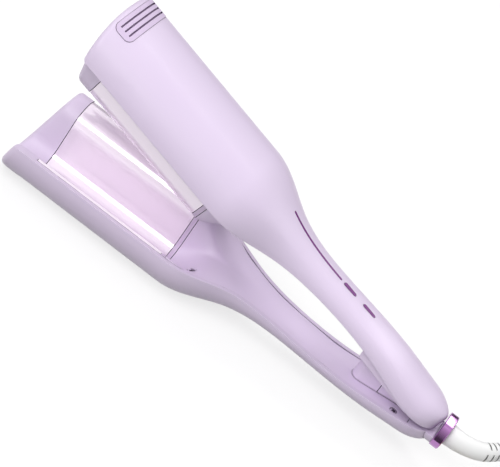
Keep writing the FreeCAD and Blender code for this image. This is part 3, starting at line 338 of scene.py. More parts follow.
@dataclass(frozen=True)
class Finish:
    """A surface finish with the parts that every material here shares.

    The colour drifts to the second one over the surface, to the edge one along edges as a painted highlight,
    and to the deep one as painted shade where little light reaches. Radii and depths are metres.
    """

    name: str
    colour: Colour
    second: Colour
    gloss: Gloss = Gloss.SATIN
    specular: float = 0.5
    grain: float = 5200.0
    grain_depth: float = 0.00001
    grain_share: float = 0.8
    smudge: float = 0.05
    metallic: float = 0.0
    coat: float = 0.0
    coat_roughness: float = 0.1
    coat_ior: float = 1.5
    # Painted highlight along edges: its colour, how much of it shows and the edge radius.
    edge: Colour = (0.9, 0.86, 0.93)
    edge_highlight_share: float = 0.35
    edge_radius: float = 0.00035
    # Painted shade in seams, slots and corners: its colour, how far it looks and how strong it is.
    deep: Colour = (0.10, 0.05, 0.13)
    deep_reach: float = 0.0012
    deep_gain: float = 1.3

    def material(self) -> bpy.types.Material:
        """Build the material, or find it if it was built before.

        Returns:
            The material.
        """
        known = bpy.data.materials.get(self.name)
        if known:
            return known
        made = bpy.data.materials.new(self.name)
        made.use_nodes = True
        shader = made.node_tree.nodes["Principled BSDF"]
        shader.inputs["Metallic"].default_value = self.metallic
        shader.inputs["Specular IOR Level"].default_value = self.specular
        shader.inputs["Coat Weight"].default_value = self.coat
        shader.inputs["Coat Roughness"].default_value = self.coat_roughness
        shader.inputs["Coat IOR"].default_value = self.coat_ior
        self.wire(made.node_tree, shader)
        return made

    def wire(self, tree: Tree, shader: Node) -> None:
        """Link colour, gloss and relief into the shader.

        Args:
            tree: the material's node tree.
            shader: its Principled node.
        """
        grain = Groups.place(tree, "moulded_grain", {"Grain": self.grain, "Share": self.grain_share})
        corner = Groups.place(tree, "edge_round", {"Radius": self.edge_radius})
        hollow = Groups.place(tree, "crevice_shade", {"Reach": self.deep_reach, "Gain": self.deep_gain})
        dust = Groups.place(tree, "surface_dust", {"Amount": self.smudge})
        plain = mix_colours(tree, grain.outputs["Tone"], self.colour, self.second)
        # Painted highlight: edges lighten towards the edge colour.
        highlight_share = math_node(tree, "MULTIPLY", corner.outputs["Mask"], self.edge_highlight_share)
        highlighted = mix_colours(tree, highlight_share, plain, self.edge)
        # Painted shade: seams, slots and corners darken towards the deep colour.
        shaded = mix_colours(tree, hollow.outputs["Mask"], highlighted, self.deep)
        tree.links.new(shaded, shader.inputs["Base Color"])
        if self.coat > 0:
            bare = math_node(tree, "MULTIPLY", hollow.outputs["Mask"], self.coat)
            tree.links.new(math_node(tree, "SUBTRACT", self.coat, bare), shader.inputs["Coat Weight"])
        roughness = math_node(tree, "ADD", dust.outputs["Smudge"], self.gloss.value)
        tree.links.new(roughness, shader.inputs["Roughness"])
        tree.links.new(self.relief(tree, grain, corner), shader.inputs["Normal"])

    def relief(self, tree: Tree, grain: Node, corner: Node) -> Socket:
        """Lay the surface's own relief over its rounded edges.

        Args:
            tree: the material's node tree.
            grain: the grain group in it.
            corner: the edge group in it.

        Returns:
            The normal.
        """
        return self.bump(tree, grain.outputs["Height"], self.grain_depth, corner.outputs["Normal"])

    @staticmethod
    def bump(tree: Tree, height: Socket, depth: float, under: Socket) -> Socket:
        """Turn a height into a normal.

        Args:
            tree: the material's node tree.
            height: the height socket, from 0 to 1.
            depth: the relief in metres.
            under: the normal that it lies on.

        Returns:
            The normal.
        """
        made = tree.nodes.new("ShaderNodeBump")
        made.inputs["Distance"].default_value = depth
        made.inputs["Strength"].default_value = 1.0
        tree.links.new(height, made.inputs["Height"])
        tree.links.new(under, made.inputs["Normal"])
        return made.outputs["Normal"]


@dataclass(frozen=True)
class TurnedMetal(Finish):
    """Metal with the fine rings of turning about X."""

    ring_scale: float = 900.0

    def relief(self, tree: Tree, grain: Node, corner: Node) -> Socket:
        """Lay the turned rings over the rounded edges.

        Args:
            tree: the material's node tree.
            grain: the grain group in it.
            corner: the edge group in it.

        Returns:
            The normal.
        """
        rings = Groups.place(tree, "turned_lines", {"Scale": self.ring_scale})
        return self.bump(tree, rings.outputs["Height"], self.grain_depth, corner.outputs["Normal"])


SHELL_LILAC = Finish("shell_lilac", (0.66, 0.56, 0.73), (0.685, 0.585, 0.75), Gloss.SATIN, 0.6)
COVER_LILAC = Finish("cover_lilac", (0.71, 0.60, 0.78), (0.73, 0.62, 0.80), Gloss.SATIN, 0.6)
PAD_LILAC = Finish(
    "pad_lilac", (0.60, 0.49, 0.67), (0.63, 0.515, 0.70), Gloss.SOFT, 0.4, grain=3200.0, grain_depth=0.00003,
    edge_highlight_share=0.5, deep_gain=2.2,
)
SPACER_LILAC = Finish("spacer_lilac", (0.62, 0.50, 0.68), (0.65, 0.53, 0.71), Gloss.SATIN)
# Its painted shade looks 7 mm out, so the plate darkens near the shell's rim and other close surfaces.
PLATE_COAT = Finish(
    "plate_coat", (0.95, 0.83, 0.965), (0.965, 0.85, 0.975), Gloss.POLISHED, 0.6, grain=9000.0,
    grain_depth=0.0000005, smudge=0.03, metallic=0.2, coat=1.0, coat_roughness=0.07, coat_ior=2.0,
    edge=(1.0, 0.95, 1.0), edge_highlight_share=0.3, deep=(0.2, 0.1, 0.23), deep_reach=0.007, deep_gain=1.0,
)
PURPLE_CHROME = TurnedMetal(
    "purple_chrome", (0.42, 0.155, 0.43), (0.46, 0.18, 0.47), Gloss.MIRROR, grain_depth=0.0000006,
    metallic=1.0, smudge=0.02, coat=1.0, coat_roughness=0.03, edge=(0.95, 0.7, 0.95), edge_highlight_share=0.7,
)
PURPLE_LENS = Finish(
    "purple_lens", (0.17, 0.035, 0.20), (0.21, 0.05, 0.24), Gloss.POLISHED, 0.6, grain_depth=0.000001,
    edge=(0.62, 0.32, 0.66), edge_highlight_share=0.8, edge_radius=0.00025,
)
CORD_WHITE = Finish(
    "cord_white", (0.85, 0.85, 0.85), (0.875, 0.875, 0.875), Gloss.SEMI, 0.5, grain=4200.0,
    grain_depth=0.000008, edge=(0.95, 0.95, 0.95), deep=(0.2, 0.2, 0.2), deep_reach=0.0016, deep_gain=1.6,
)
STEEL = Finish(
    "steel", (0.60, 0.60, 0.62), (0.64, 0.64, 0.66), Gloss.BRUSHED, metallic=1.0, grain_depth=0.000003,
)
BRASS = Finish(
    "brass", (0.72, 0.52, 0.22), (0.76, 0.56, 0.25), Gloss.DRAWN, metallic=1.0, grain_depth=0.000003,
)
LACQUER = Finish("screw_lacquer", (0.62, 0.51, 0.70), (0.65, 0.54, 0.73), Gloss.SEMI, deep_gain=1.8)
CERAMIC = Finish("heater_ceramic", (0.76, 0.74, 0.68), (0.80, 0.78, 0.72), Gloss.MATT)
COMPONENT = Finish("component_body", (0.80, 0.74, 0.40), (0.84, 0.78, 0.45), Gloss.SEMI)
BOARD_GREEN = Finish("board_green", (0.02, 0.16, 0.06), (0.03, 0.20, 0.08), Gloss.SEMI)
BLACK = Finish("black_moulding", (0.02, 0.02, 0.02), (0.03, 0.03, 0.03), Gloss.SATIN, edge_highlight_share=0.05)


# Pieces


def link_new(name: str, data: bpy.types.ID) -> bpy.types.Object:
    """Make an object and put it into the scene.

    Args:
        name: the object's name.
        data: its mesh, curve, lamp or camera.

    Returns:
        The object.
    """
    made = bpy.data.objects.new(name, data)
    bpy.context.scene.collection.objects.link(made)
    return made


def new_piece(shape: bmesh.types.BMesh, name: str, finish: Finish) -> bpy.types.Object:
    """Turn a finished bmesh into a smooth, dressed object.

    Args:
        shape: the bmesh, in the object's frame, which is freed here.
        name: the piece's name.
        finish: what it is dressed in.

    Returns:
        The piece.
    """
    bmesh.ops.recalc_face_normals(shape, faces=shape.faces)
    for face in shape.faces:
        face.smooth = True
    mesh = bpy.data.meshes.new(name)
    shape.to_mesh(mesh)
    shape.free()
    mesh.set_sharp_from_angle(angle=SHARP_EDGE)
    mesh.materials.append(finish.material())
    return link_new(name, mesh)


def extrude_to(
    shape: bmesh.types.BMesh, face: bmesh.types.BMFace, along: Point, factor: Point
) -> bmesh.types.BMFace:
    """Extrude one face, move its new end and scale it about the shape's origin.

    Args:
        shape: the bmesh.
        face: the face to extrude.
        along: the move.
        factor: the scale of the new end on each axis.

    Returns:
        The new end face.
    """
    made = bmesh.ops.extrude_face_region(shape, geom=[face])["geom"]
    end = next(item for item in made if isinstance(item, bmesh.types.BMFace))
    bmesh.ops.translate(shape, vec=along, verts=end.verts)
    bmesh.ops.scale(shape, vec=factor, verts=end.verts)
    return end


@dataclass
class CrossScrew:
    """A pan-head screw with a cross recess, its seat at the origin and its head up."""

    head_radius: float = 2.35 * MM
    head_rim: float = 0.75 * MM
    head_height: float = 1.2 * MM
    dome_step: float = 0.6
    dome_taper: float = 0.93
    crown_share: float = 0.72
    shank_radius: float = 1.3 * MM
    length: float = 6.5 * MM
    tip_share: float = 0.6
    recess_reach: float = 1.25 * MM
    recess_half: float = 0.33 * MM
    recess_depth: float = 0.6 * MM
    recess_taper: float = 0.82
    around: int = 32

    def add(self, shape: bmesh.types.BMesh, place: Matrix) -> None:
        """Add one screw to a bmesh.

        Args:
            shape: the bmesh.
            place: where the screw goes.
        """
        screw = bmesh.new()
        tip = self.shank_radius * self.tip_share
        bmesh.ops.create_circle(screw, cap_ends=True, segments=self.around, radius=tip)
        bmesh.ops.translate(screw, vec=(0, 0, -self.length), verts=screw.verts)
        screw.faces.ensure_lookup_table()
        widen = self.head_radius / self.shank_radius
        point = self.shank_radius
        dome = self.head_height - self.head_rim
        # Each step is a rise and how much wider its end is.
        steps = (
            (point, 1 / self.tip_share),
            (self.length - point, 1.0),
            (0.0, widen),
            (self.head_rim, 1.0),
            (dome * self.dome_step, self.dome_taper),
            (dome * (1.0 - self.dome_step), self.crown_share / self.dome_taper),
        )
        face = screw.faces[0]
        for rise, factor in steps:
            face = extrude_to(screw, face, (0.0, 0.0, rise), (factor, factor, 1.0))
        self.cut_recess(screw, face)
        bmesh.ops.transform(screw, matrix=place, verts=screw.verts)
        part = bpy.data.meshes.new("screw_part")
        screw.to_mesh(part)
        screw.free()
        shape.from_mesh(part)
        bpy.data.meshes.remove(part)

    def cut_recess(self, screw: bmesh.types.BMesh, top: bmesh.types.BMFace) -> None:
        """Sink the cross into the head.

        Args:
            screw: the screw's bmesh.
            top: the head's top face.
        """
        lines = [(axis, at) for axis in (0, 1) for at in (-self.recess_reach, -self.recess_half)]
        lines += [(axis, -at) for axis, at in lines]
        height = top.calc_center_median().z
        for axis, at in lines:
            flat = [f for f in screw.faces if all(abs(v.co.z - height) < SAME_HEIGHT for v in f.verts)]
            edges = {e for f in flat for e in f.edges}
            verts = {v for f in flat for v in f.verts}
            normal = Vector((1.0, 0, 0)) if axis == 0 else Vector((0, 1.0, 0))
            bmesh.ops.bisect_plane(
                screw, geom=[*flat, *edges, *verts], dist=SAME_HEIGHT, plane_co=normal * at, plane_no=normal,
            )
        cross = []
        for face in screw.faces:
            middle = face.calc_center_median()
            if abs(middle.z - height) > SAME_HEIGHT:
                continue
            near, far = sorted((abs(middle.x), abs(middle.y)))
            if near < self.recess_half and far < self.recess_reach:
                cross.append(face)
        made = bmesh.ops.extrude_face_region(screw, geom=cross)["geom"]
        sunk = [item for item in made if isinstance(item, bmesh.types.BMVert)]
        bmesh.ops.translate(screw, vec=(0, 0, -self.recess_depth), verts=sunk)
        bmesh.ops.scale(screw, vec=(self.recess_taper, self.recess_taper, 1.0), verts=sunk)


@dataclass
class SubAssembly:
    """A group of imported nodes, each with its finish, and the new pieces among them."""

    finishes: dict[str, Finish] = field(default_factory=dict)

    def pieces(self) -> list[bpy.types.Object]:
        """Build the new pieces; a plain group has none."""
        return []

    def build(self, frame: dict) -> None:
        """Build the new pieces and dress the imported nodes.
        """
        for piece in self.pieces():
            LOG.info("built %s", piece.name)
        for name, finish in self.finishes.items():
            node = frame["nodes"][name]
            node.data.materials.clear()
            node.data.materials.append(finish.material())
            LOG.info("dressed %s as %s", name, finish.name)


class Side(str, Enum):
    """The two arms."""

    LOWER = "lower"
    UPPER = "upper"


@dataclass
class Arm(SubAssembly):
    """One arm: its shell with a nose liner, its inner cover, wave plate, pad, heater and cover screws.

    The places of the screws and the liner are in the arm's own frame. Its origin is on the closing plane at
    the hinge, and its outside faces down.
    """

    side: Side = Side.LOWER
    sensor: str = "lower_thermal_fuse"
    hinge_place: Point = (0.203, 0.0, 0.0298)
    pin_height: float = 2.7 * MM
    opening: float = math.radians(15.5)
    neck_screw: Point = (-0.1392, -0.0188, -0.0104)
    tail_screw: Point = (0.003, 0.0125, -0.006724)
    screw: CrossScrew = field(default_factory=CrossScrew)
    screw_turn: float = 0.4
    screw_step: float = 0.9
    liner_place: Point = (-0.258713, 0.01475, 0.0169)
    liner_size: Point = (0.0012, 0.0106, 0.0016)
    liner_crown: float = 0.57
    liner_tilt: float = math.radians(15.3)
    liner_bevel: float = 0.1 * MM
    liner_steps: int = 3

    def place(self) -> Matrix:
        """Say where the arm's own frame lies in the object.

        Returns:
            The frame's place at rest.
        """
        shift = Matrix.Translation(self.hinge_place)
        if self.side is Side.LOWER:
            return shift
        pin = Matrix.Translation((0.0, 0.0, self.pin_height))
        swing = pin @ Matrix.Rotation(self.opening, 4, "Y") @ pin.inverted()
        return shift @ swing @ Matrix.Rotation(math.pi, 4, "X")

    def body(self) -> str:
        """Name the body that the arm's pieces ride on."""
        return Body.LOWER.value if self.side is Side.LOWER else Body.UPPER.value

    def pieces(self) -> list[bpy.types.Object]:
        """Build the arm's own pieces.

        Returns:
            The cover screws and the nose liner.
        """
        return [self.cover_screws(), self.nose_liner()]

    def nose_liner(self) -> bpy.types.Object:
        """Close the narrow slit under the crest of the nose from inside, nearly flush.

        Returns:
            The liner.
        """
        shape = bmesh.new()
        bmesh.ops.create_cube(shape, size=1.0)
        bmesh.ops.scale(shape, vec=self.liner_size, verts=shape.verts)
        crown = [vertex for vertex in shape.verts if vertex.co.z > 0.0]
        bmesh.ops.scale(shape, vec=(1.0, self.liner_crown, 1.0), verts=crown)
        bmesh.ops.bevel(
            shape, geom=[*shape.verts, *shape.edges], offset=self.liner_bevel, affect="EDGES",
            segments=self.liner_steps, profile=0.5, material=-1,
        )
        tilt = Matrix.Rotation(self.liner_tilt, 4, "Y")
        behind = Matrix.Translation((self.liner_size[0] / 2, 0.0, 0.0))
        place = self.place() @ Matrix.Translation(self.liner_place) @ tilt @ behind
        bmesh.ops.transform(shape, matrix=place, verts=shape.verts)
        piece = new_piece(shape, self.side.value + "_nose_liner", SHELL_LILAC)
        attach(piece, self.body())
        return piece

    def cover_screws(self) -> bpy.types.Object:
        """Build the screws that hold the inner cover.

        Returns:
            The screws, as one piece.
        """
        x, y, z = self.tail_screw
        shape = bmesh.new()
        for index, seat in enumerate((self.neck_screw, (x, y, z), (x, -y, z))):
            turn = Matrix.Rotation(self.screw_turn + self.screw_step * index, 4, "Z")
            self.screw.add(shape, self.place() @ Matrix.Translation(seat) @ turn)
        name = self.side.value + "_cover_screws"
        piece = new_piece(shape, "cross_" + name, LACQUER)
        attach(piece, self.body())
        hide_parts(name)
        return piece

    def build(self, frame: dict) -> None:
        """Build the arm's own pieces and dress its nodes.
        """
        own = {
            "shell": SHELL_LILAC,
            "inner_cover": COVER_LILAC,
            "wave_plate": PLATE_COAT,
            "rear_spacer": SPACER_LILAC,
            "grip_pad": PAD_LILAC,
            "heater": CERAMIC,
            "heater_clip": STEEL,
        }
        self.finishes = {self.side.value + "_" + part: finish for part, finish in own.items()}
        self.finishes[self.sensor] = COMPONENT
        super().build(frame)


@dataclass
class Plug:
    """The mains plug: a grooved neck, a flat body that widens forward, and finger grooves.

    It is built along +X, then placed where the cord's route ends. A profile's rows give a distance in
    millimetres, then a share: of the groove's depth in the ring and the grip, of the body's size in the
    shoulder. The face's rows give a distance back from it and how many millimetres the body shrinks there.
    """

    origin: Point = (0.306647, -0.025082, 0.0076)
    heading: float = CORD_END_HEADING
    neck: float = 9.4 * MM
    neck_end_share: float = 0.94
    neck_end_bevel: float = 0.5 * MM
    neck_groove: float = 8.0 * MM
    neck_rings: int = 3
    ring_start: float = 2.2 * MM
    ring_pitch: float = 2.4 * MM
    ring: Profile = ((0.0, 0.0), (0.15, 1.0), (1.15, 1.0), (1.3, 0.0))
    neck_length: float = 10.0 * MM
    neck_flare: float = 1.04
    neck_flare_run: float = 0.3 * MM
    shoulder: Profile = ((0.2, 0.8), (0.9, 0.92), (2.0, 0.98), (3.4, 1.0))
    length: float = 30.0 * MM
    rear_width: float = 17.0 * MM
    front_width: float = 24.0 * MM
    thickness: float = 15.0 * MM
    grip_grooves: int = 4
    grip_depth: float = 0.45 * MM
    grip_start: float = 7.0 * MM
    grip_pitch: float = 3.2 * MM
    grip: Profile = ((0.0, 0.0), (0.4, 1.0), (1.4, 1.0), (1.8, 0.0))
    face: Profile = ((1.6, 0.0), (0.8, 0.25), (0.25, 0.8), (0.0, 1.7))
    corner_share: float = 0.46
    corner_steps: int = 6

    def body_size(self, run: float) -> tuple[float, float]:
        """Give the body's width and thickness at a distance from its rear."""
        share = min(max(run / self.length, 0.0), 1.0)
        return self.rear_width + (self.front_width - self.rear_width) * share, self.thickness

    def sections(self) -> list[Point]:
        """List the stations from the cord to the face: distance, width and thickness.

        Returns:
            The sections.
        """
        end = self.neck * self.neck_end_share
        flare = self.neck * self.neck_flare
        rear = self.neck_length
        rows = [(0.0, end, end), (self.neck_end_bevel, self.neck, self.neck)]
        for index in range(self.neck_rings):
            start = self.ring_start + self.ring_pitch * index
            for run, depth in self.ring:
                size = self.neck - depth * (self.neck - self.neck_groove)
                rows.append((start + run * MM, size, size))
        rows.append((rear - self.neck_flare_run, flare, flare))
        for run, share in self.shoulder:
            width, thick = self.body_size(run * MM)
            rows.append((rear + run * MM, width * share, thick * share))
        for index in range(self.grip_grooves):
            start = self.grip_start + self.grip_pitch * index
            for run, depth in self.grip:
                width, thick = self.body_size(start + run * MM)
                cut = 2 * depth * self.grip_depth
                rows.append((rear + start + run * MM, width - cut, thick - cut))
        for back, inset in self.face:
            width, thick = self.body_size(self.length - back * MM)
            rows.append((rear + self.length - back * MM, width - inset * MM, thick - inset * MM))
        return rows

    def build(self) -> bpy.types.Object:
        """Loft the plug through its sections.

        Returns:
            The plug.
        """
        rows = self.sections()
        shape = bmesh.new()
        bmesh.ops.create_grid(shape, x_segments=1, y_segments=1, size=0.5)
        bmesh.ops.rotate(shape, matrix=Matrix.Rotation(math.pi / 2, 3, "Y"), verts=shape.verts)
        station, width, thick = rows[0]
        bmesh.ops.bevel(
            shape, geom=[*shape.verts, *shape.edges], offset=self.corner_share, affect="VERTICES",
            segments=self.corner_steps, profile=0.5, material=-1,
        )
        bmesh.ops.scale(shape, vec=(1.0, width, thick), verts=shape.verts)
        bmesh.ops.translate(shape, vec=(station, 0, 0), verts=shape.verts)
        shape.faces.ensure_lookup_table()
        face = shape.faces[0]
        for ahead, wide, deep in rows[1:]:
            face = extrude_to(shape, face, (ahead - station, 0.0, 0.0), (1.0, wide / width, deep / thick))
            station, width, thick = ahead, wide, deep
        place = Matrix.Translation(self.origin) @ Matrix.Rotation(self.heading, 4, "Z")
        bmesh.ops.transform(shape, matrix=place, verts=shape.verts)
        piece = new_piece(shape, "mains_plug", CORD_WHITE)
        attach(piece, Body.CORD.value)
        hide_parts("plug_body")
        LOG.info("built %s", piece.name)
        return piece


@dataclass
class Cord:
    """The free cord: its lead from the strain relief, its coil and its end at the plug."""

    diameter: float = 6.4 * MM
    relief_exit: Point = (0.28416, 0.0355, 0.0263)
    relief_turn: float = math.radians(54.0)
    lead_first_run: float = 22.0 * MM
    lead: tuple[Point, ...] = ((0.3185, 0.0680, 0.0160),)
    lead_last_run: float = 20.0 * MM
    coil_centre: Point = (0.3690, 0.0175, 0.0033)
    coil_radius: float = 48.5 * MM
    coil_pitch: float = 7.0 * MM
    coil_turns: float = 6.5
    coil_steps: int = 16
    coil_layer: float = 7.0 * MM
    end_first_run: float = 18.0 * MM
    end: tuple[Point, ...] = ((0.3250, -0.0300, 0.0076),)
    end_heading: float = CORD_END_HEADING
    end_last_run: float = 19.0 * MM
    length: float = 1.68
    round_steps: int = 6
    run_steps: int = 6

    def coil_points(self) -> list[Vector]:
        """Work out the coil's turns, in on the first layer and out on the second.

        Returns:
            The coil's control points.
        """
        centre = Vector(self.coil_centre)
        step = 2 * math.pi / self.coil_steps
        total = int(self.coil_turns * self.coil_steps)
        middle = total / 2
        # A spline of order 3 cuts inside its control points, so they stand further out than the turns.
        swell = 1 / (0.75 + 0.25 * math.cos(step))
        points = []
        for index in range(1, total):
            turned = min(index, total - index)
            radius = (self.coil_radius - self.coil_pitch * turned / self.coil_steps) * swell
            climb = min(max((index - middle) / (self.coil_steps / 2) + 0.5, 0.0), 1.0)
            angle = math.pi / 2 - index * step
            out = Vector((math.cos(angle), math.sin(angle), 0)) * radius
            points.append(centre + out + Vector((0, 0, self.coil_layer * climb)))
        return points

    def route(self) -> list[Vector]:
        """List the control points from the strain relief to the plug.

        Returns:
            The whole route.
        """
        along = Vector((1, 0, 0))
        way = Vector((math.cos(self.relief_turn), math.sin(self.relief_turn), 0))
        leave = Vector(self.relief_exit)
        first = Vector(self.coil_centre) + Vector((0, self.coil_radius, 0))
        last = Vector(self.coil_centre) + Vector((0, -self.coil_radius, self.coil_layer))
        meet = first - along * self.diameter
        points = [leave, leave + way * self.lead_first_run]
        points += [Vector(p) for p in self.lead]
        points += [meet - along * self.lead_last_run, meet, first]
        points += self.coil_points()
        part = last - along * self.diameter
        points += [last, part, part - along * self.end_first_run]
        points += [Vector(p) for p in self.end]
        heading = Vector((math.cos(self.end_heading), math.sin(self.end_heading), 0))
        return points + [points[-1] + heading * self.end_last_run]

    def build(self, plug: bpy.types.Object) -> bpy.types.Object:
        """Args:
            plug: the plug at its far end; not used.

        Returns:
            The cord.
        """
        data = bpy.data.curves.new("power_cord", "CURVE")
        data.dimensions = "3D"
        data.bevel_depth = self.diameter / 2
        data.bevel_resolution = self.round_steps
        data.resolution_u = self.run_steps
        data.use_fill_caps = True
        points = self.route()
        spline = data.splines.new("NURBS")
        spline.points.add(len(points) - 1)
        for place, point in zip(spline.points, points):
            place.co = (*point, 1.0)
        spline.order_u = 3
        spline.use_endpoint_u = True
        data.materials.append(CORD_WHITE.material())
        piece = link_new("power_cord", data)
        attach(piece, Body.CORD.value)
        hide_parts("cord_tube", "cord_coil", "cord_end")
        LOG.info("built %s", piece.name)
        return piece


# Studio


@dataclass(frozen=True)
class Lamp:
    """One soft rectangular lamp: its place, its width and height, and its power in watts."""

    name: str
    place: Point
    size: tuple[float, float]
    power: float
    mirrored: bool

    def build(self, target: Point) -> None:
        """Hang the lamp.

        Args:
            target: the point that it faces.
        """
        data = bpy.data.lights.new(self.name, "AREA")
        data.shape = "RECTANGLE"
        data.size, data.size_y = self.size
        data.energy = self.power
        lamp = link_new(self.name, data)
        lamp.location = self.place
        lamp.rotation_mode = "QUATERNION"
        lamp.rotation_quaternion = (Vector(target) - Vector(self.place)).to_track_quat("-Z", "Y")
        lamp.visible_glossy = self.mirrored


@dataclass(frozen=True)
class Card:
    """A glowing card that only reflections see, as a studio hangs them around polished metal.

    Its width lies along X. Its other side stands, or lies along Y where the card is flat. The glow is the
    strength at its lower and at its upper edge.
    """

    name: str
    place: Point
    size: tuple[float, float]
    flat: bool
    glow: tuple[float, float]

    def build(self) -> None:
        """Hang the card."""
        shape = bmesh.new()
        bmesh.ops.create_grid(shape, x_segments=1, y_segments=1, size=0.5)
        bmesh.ops.scale(shape, vec=(*self.size, 1.0), verts=shape.verts)
        if not self.flat:
            bmesh.ops.rotate(shape, matrix=Matrix.Rotation(math.pi / 2, 3, "X"), verts=shape.verts)
        bmesh.ops.translate(shape, vec=self.place, verts=shape.verts)
        mesh = bpy.data.meshes.new(self.name)
        shape.to_mesh(mesh)
        shape.free()
        mesh.materials.append(self.material())
        board = link_new(self.name, mesh)
        board.visible_camera = False
        board.visible_diffuse = False
        board.visible_shadow = False

    def material(self) -> bpy.types.Material:
        """Build the card's light, which may grow from its lower edge to its upper one.

        Returns:
            The material.
        """
        half = self.size[1] / 2
        made = bpy.data.materials.new(self.name)
        made.use_nodes = True
        tree = made.node_tree
        tree.nodes.remove(tree.nodes["Principled BSDF"])
        where = tree.nodes.new("ShaderNodeTexCoord").outputs["Object"]
        split = tree.nodes.new("ShaderNodeSeparateXYZ")
        tree.links.new(where, split.inputs["Vector"])
        share = tree.nodes.new("ShaderNodeMapRange")
        share.inputs["From Min"].default_value = self.place[2] - half
        share.inputs["From Max"].default_value = self.place[2] + half
        share.inputs["To Min"].default_value = self.glow[0]
        share.inputs["To Max"].default_value = self.glow[1]
        tree.links.new(split.outputs["Z"], share.inputs["Value"])
        light = tree.nodes.new("ShaderNodeEmission")
        tree.links.new(share.outputs["Result"], light.inputs["Strength"])
        tree.links.new(light.outputs["Emission"], tree.nodes["Material Output"].inputs["Surface"])
        return made


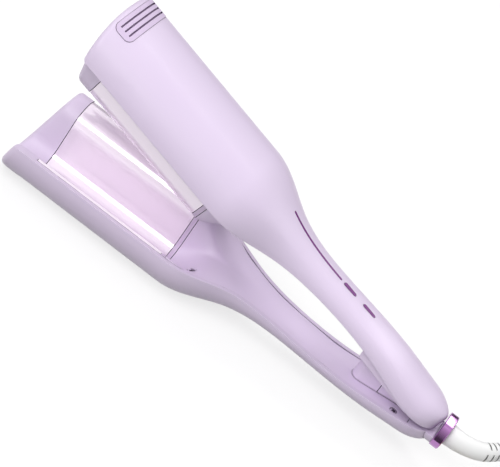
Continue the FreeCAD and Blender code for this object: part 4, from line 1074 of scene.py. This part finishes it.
@dataclass
class Studio:
    """The photograph's camera, the floor, the lamps and the cards."""

    camera_place: Point = (0.1618, -0.9731, 0.6848)
    right: Point = (0.79488, 0.37683, 0.47556)
    up: Point = (-0.60245, 0.39694, 0.69245)
    back: Point = (0.07217, -0.83692, 0.54254)
    lens: float = 144.0
    sensor: float = 36.0
    nearest: float = 0.05
    farthest: float = 50.0
    target: Point = (0.06, 0.0, 0.04)
    floor_half: float = 6.0
    floor_grey: float = 0.3
    floor_roughness: float = 0.9
    floor_seen: float = 1.02
    sky_way: Point = (0.1, 0.4, 0.9)
    sky_low: float = 0.27
    sky_high: float = 0.56
    lamps: tuple[Lamp, ...] = (
        Lamp("back_softbox", (0.2, 0.72, 1.2), (0.6, 0.45), 5.6, mirrored=False),
        Lamp("front_softbox", (-0.25, -0.85, 1.15), (1.0, 1.0), 11.0, mirrored=False),
        Lamp("strip_softbox", (-0.3, -1.18, 0.7), (0.72, 0.42), 4.4, mirrored=True),
    )
    cards: tuple[Card, ...] = (
        Card("back_card", (0.1, 1.25, 0.36), (2.4, 0.72), flat=False, glow=(0.15, 0.15)),
        Card("collar_floor_card", (0.24, -0.054, 0.0006), (0.05, 0.048), flat=True, glow=(0.1, 0.1)),
        Card("collar_front_card", (0.233, -0.075, 0.075), (0.03, 0.148), flat=False, glow=(0.1, 1.35)),
        Card("collar_top_card", (0.233, 0.06, 0.16), (0.03, 0.19), flat=True, glow=(7.0, 7.0)),
    )

    def camera(self) -> None:
        """Place the camera that the photograph was taken with."""
        data = bpy.data.cameras.new("camera")
        data.lens = self.lens
        data.sensor_width = self.sensor
        data.clip_start = self.nearest
        data.clip_end = self.farthest
        eye = link_new("camera", data)
        columns = Matrix((self.right, self.up, self.back)).transposed()
        eye.matrix_world = Matrix.Translation(Vector(self.camera_place)) @ columns.to_4x4()
        bpy.context.scene.camera = eye

    def floor(self) -> None:
        """Lay the pale floor."""
        shape = bmesh.new()
        bmesh.ops.create_grid(shape, x_segments=1, y_segments=1, size=self.floor_half)
        mesh = bpy.data.meshes.new("floor")
        shape.to_mesh(mesh)
        shape.free()
        mesh.materials.append(self.floor_material())
        link_new("floor", mesh)

    def floor_material(self) -> bpy.types.Material:
        """Build the floor's grey, which shows white and keeps the tool's shadow.

        Returns:
            The material.
        """
        made = bpy.data.materials.new("floor_white")
        made.use_nodes = True
        tree = made.node_tree
        shader = tree.nodes["Principled BSDF"]
        shader.inputs["Base Color"].default_value = (self.floor_grey, self.floor_grey, self.floor_grey, 1.0)
        shader.inputs["Roughness"].default_value = self.floor_roughness
        shader.inputs["Specular IOR Level"].default_value = 0.0
        glow = tree.nodes.new("ShaderNodeEmission")
        strength = math_node(tree, "MULTIPLY", self.white_rays(tree), self.floor_seen - self.floor_grey)
        tree.links.new(strength, glow.inputs["Strength"])
        both = tree.nodes.new("ShaderNodeAddShader")
        tree.links.new(shader.outputs["BSDF"], both.inputs[0])
        tree.links.new(glow.outputs["Emission"], both.inputs[1])
        tree.links.new(both.outputs["Shader"], tree.nodes["Material Output"].inputs["Surface"])
        return made

    @staticmethod
    def white_rays(tree: Tree) -> Socket:
        """Pick the rays that see a white background.

        Args:
            tree: the node tree.

        Returns:
            1 for camera, glossy and transmission rays, and 0 for the rest.
        """
        paths = tree.nodes.new("ShaderNodeLightPath")
        seen = math_node(tree, "MAXIMUM", paths.outputs["Is Camera Ray"], paths.outputs["Is Glossy Ray"])
        return math_node(tree, "MAXIMUM", seen, paths.outputs["Is Transmission Ray"])

    def world(self) -> None:
        """Light the surroundings softly from behind and above, and show them white."""
        world = bpy.data.worlds.new("studio")
        bpy.context.scene.world = world
        world.use_nodes = True
        tree = world.node_tree
        ambient = tree.nodes["Background"]
        ambient.inputs["Color"].default_value = (1.0, 1.0, 1.0, 1.0)
        facing = tree.nodes.new("ShaderNodeVectorMath")
        facing.operation = "DOT_PRODUCT"
        tree.links.new(tree.nodes.new("ShaderNodeTexCoord").outputs["Generated"], facing.inputs[0])
        facing.inputs[1].default_value = self.sky_way
        share = tree.nodes.new("ShaderNodeMapRange")
        share.inputs["From Min"].default_value = -1.0
        share.inputs["To Min"].default_value = self.sky_low
        share.inputs["To Max"].default_value = self.sky_high
        tree.links.new(facing.outputs["Value"], share.inputs["Value"])
        strength = math_node(tree, "MAXIMUM", share.outputs["Result"], self.white_rays(tree))
        tree.links.new(strength, ambient.inputs["Strength"])

    def build(self) -> None:
        """Set up the whole studio."""
        self.camera()
        self.floor()
        self.world()
        for lamp in self.lamps:
            lamp.build(self.target)
        for card in self.cards:
            card.build()
        bpy.context.scene.view_settings.view_transform = "Standard"
        LOG.info("studio ready")


# The whole tool


def assemblies() -> list[SubAssembly]:
    """List the sub-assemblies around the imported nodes.

    Returns:
        The two arms, the hinge, the controls, the swivel and the plug's blades.
    """
    hinge = SubAssembly({
        "hinge_block": COVER_LILAC,
        "hinge_block_screws": STEEL,
        "hinge_pin": STEEL,
        "hinge_spring": STEEL,
    })
    controls = SubAssembly({
        "accent_light_bar": PURPLE_LENS,
        "control_board": BOARD_GREEN,
        "board_screws": STEEL,
        "tact_switches": BLACK,
        "light_emitters": COMPONENT,
        "power_button": PURPLE_LENS,
        "temperature_button": PURPLE_LENS,
    })
    swivel = SubAssembly({
        "tail_block": COVER_LILAC,
        "collar": PURPLE_CHROME,
        "contact_rings": BRASS,
        "swivel_drum": BLACK,
        "strain_relief": CORD_WHITE,
        "plug_blades": BRASS,
    })
    return [Arm(side=Side.LOWER), Arm(side=Side.UPPER, sensor="upper_thermistor"), hinge, controls, swivel]


def main() -> None:
    """Build the dressed tool and its studio."""
    logging.basicConfig(level=logging.INFO, format="%(name)s: %(message)s")
    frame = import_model()
    Studio().build()
    Cord().build(Plug().build())
    for part in assemblies():
        part.build(frame)


if __name__ == "__main__":
    main()
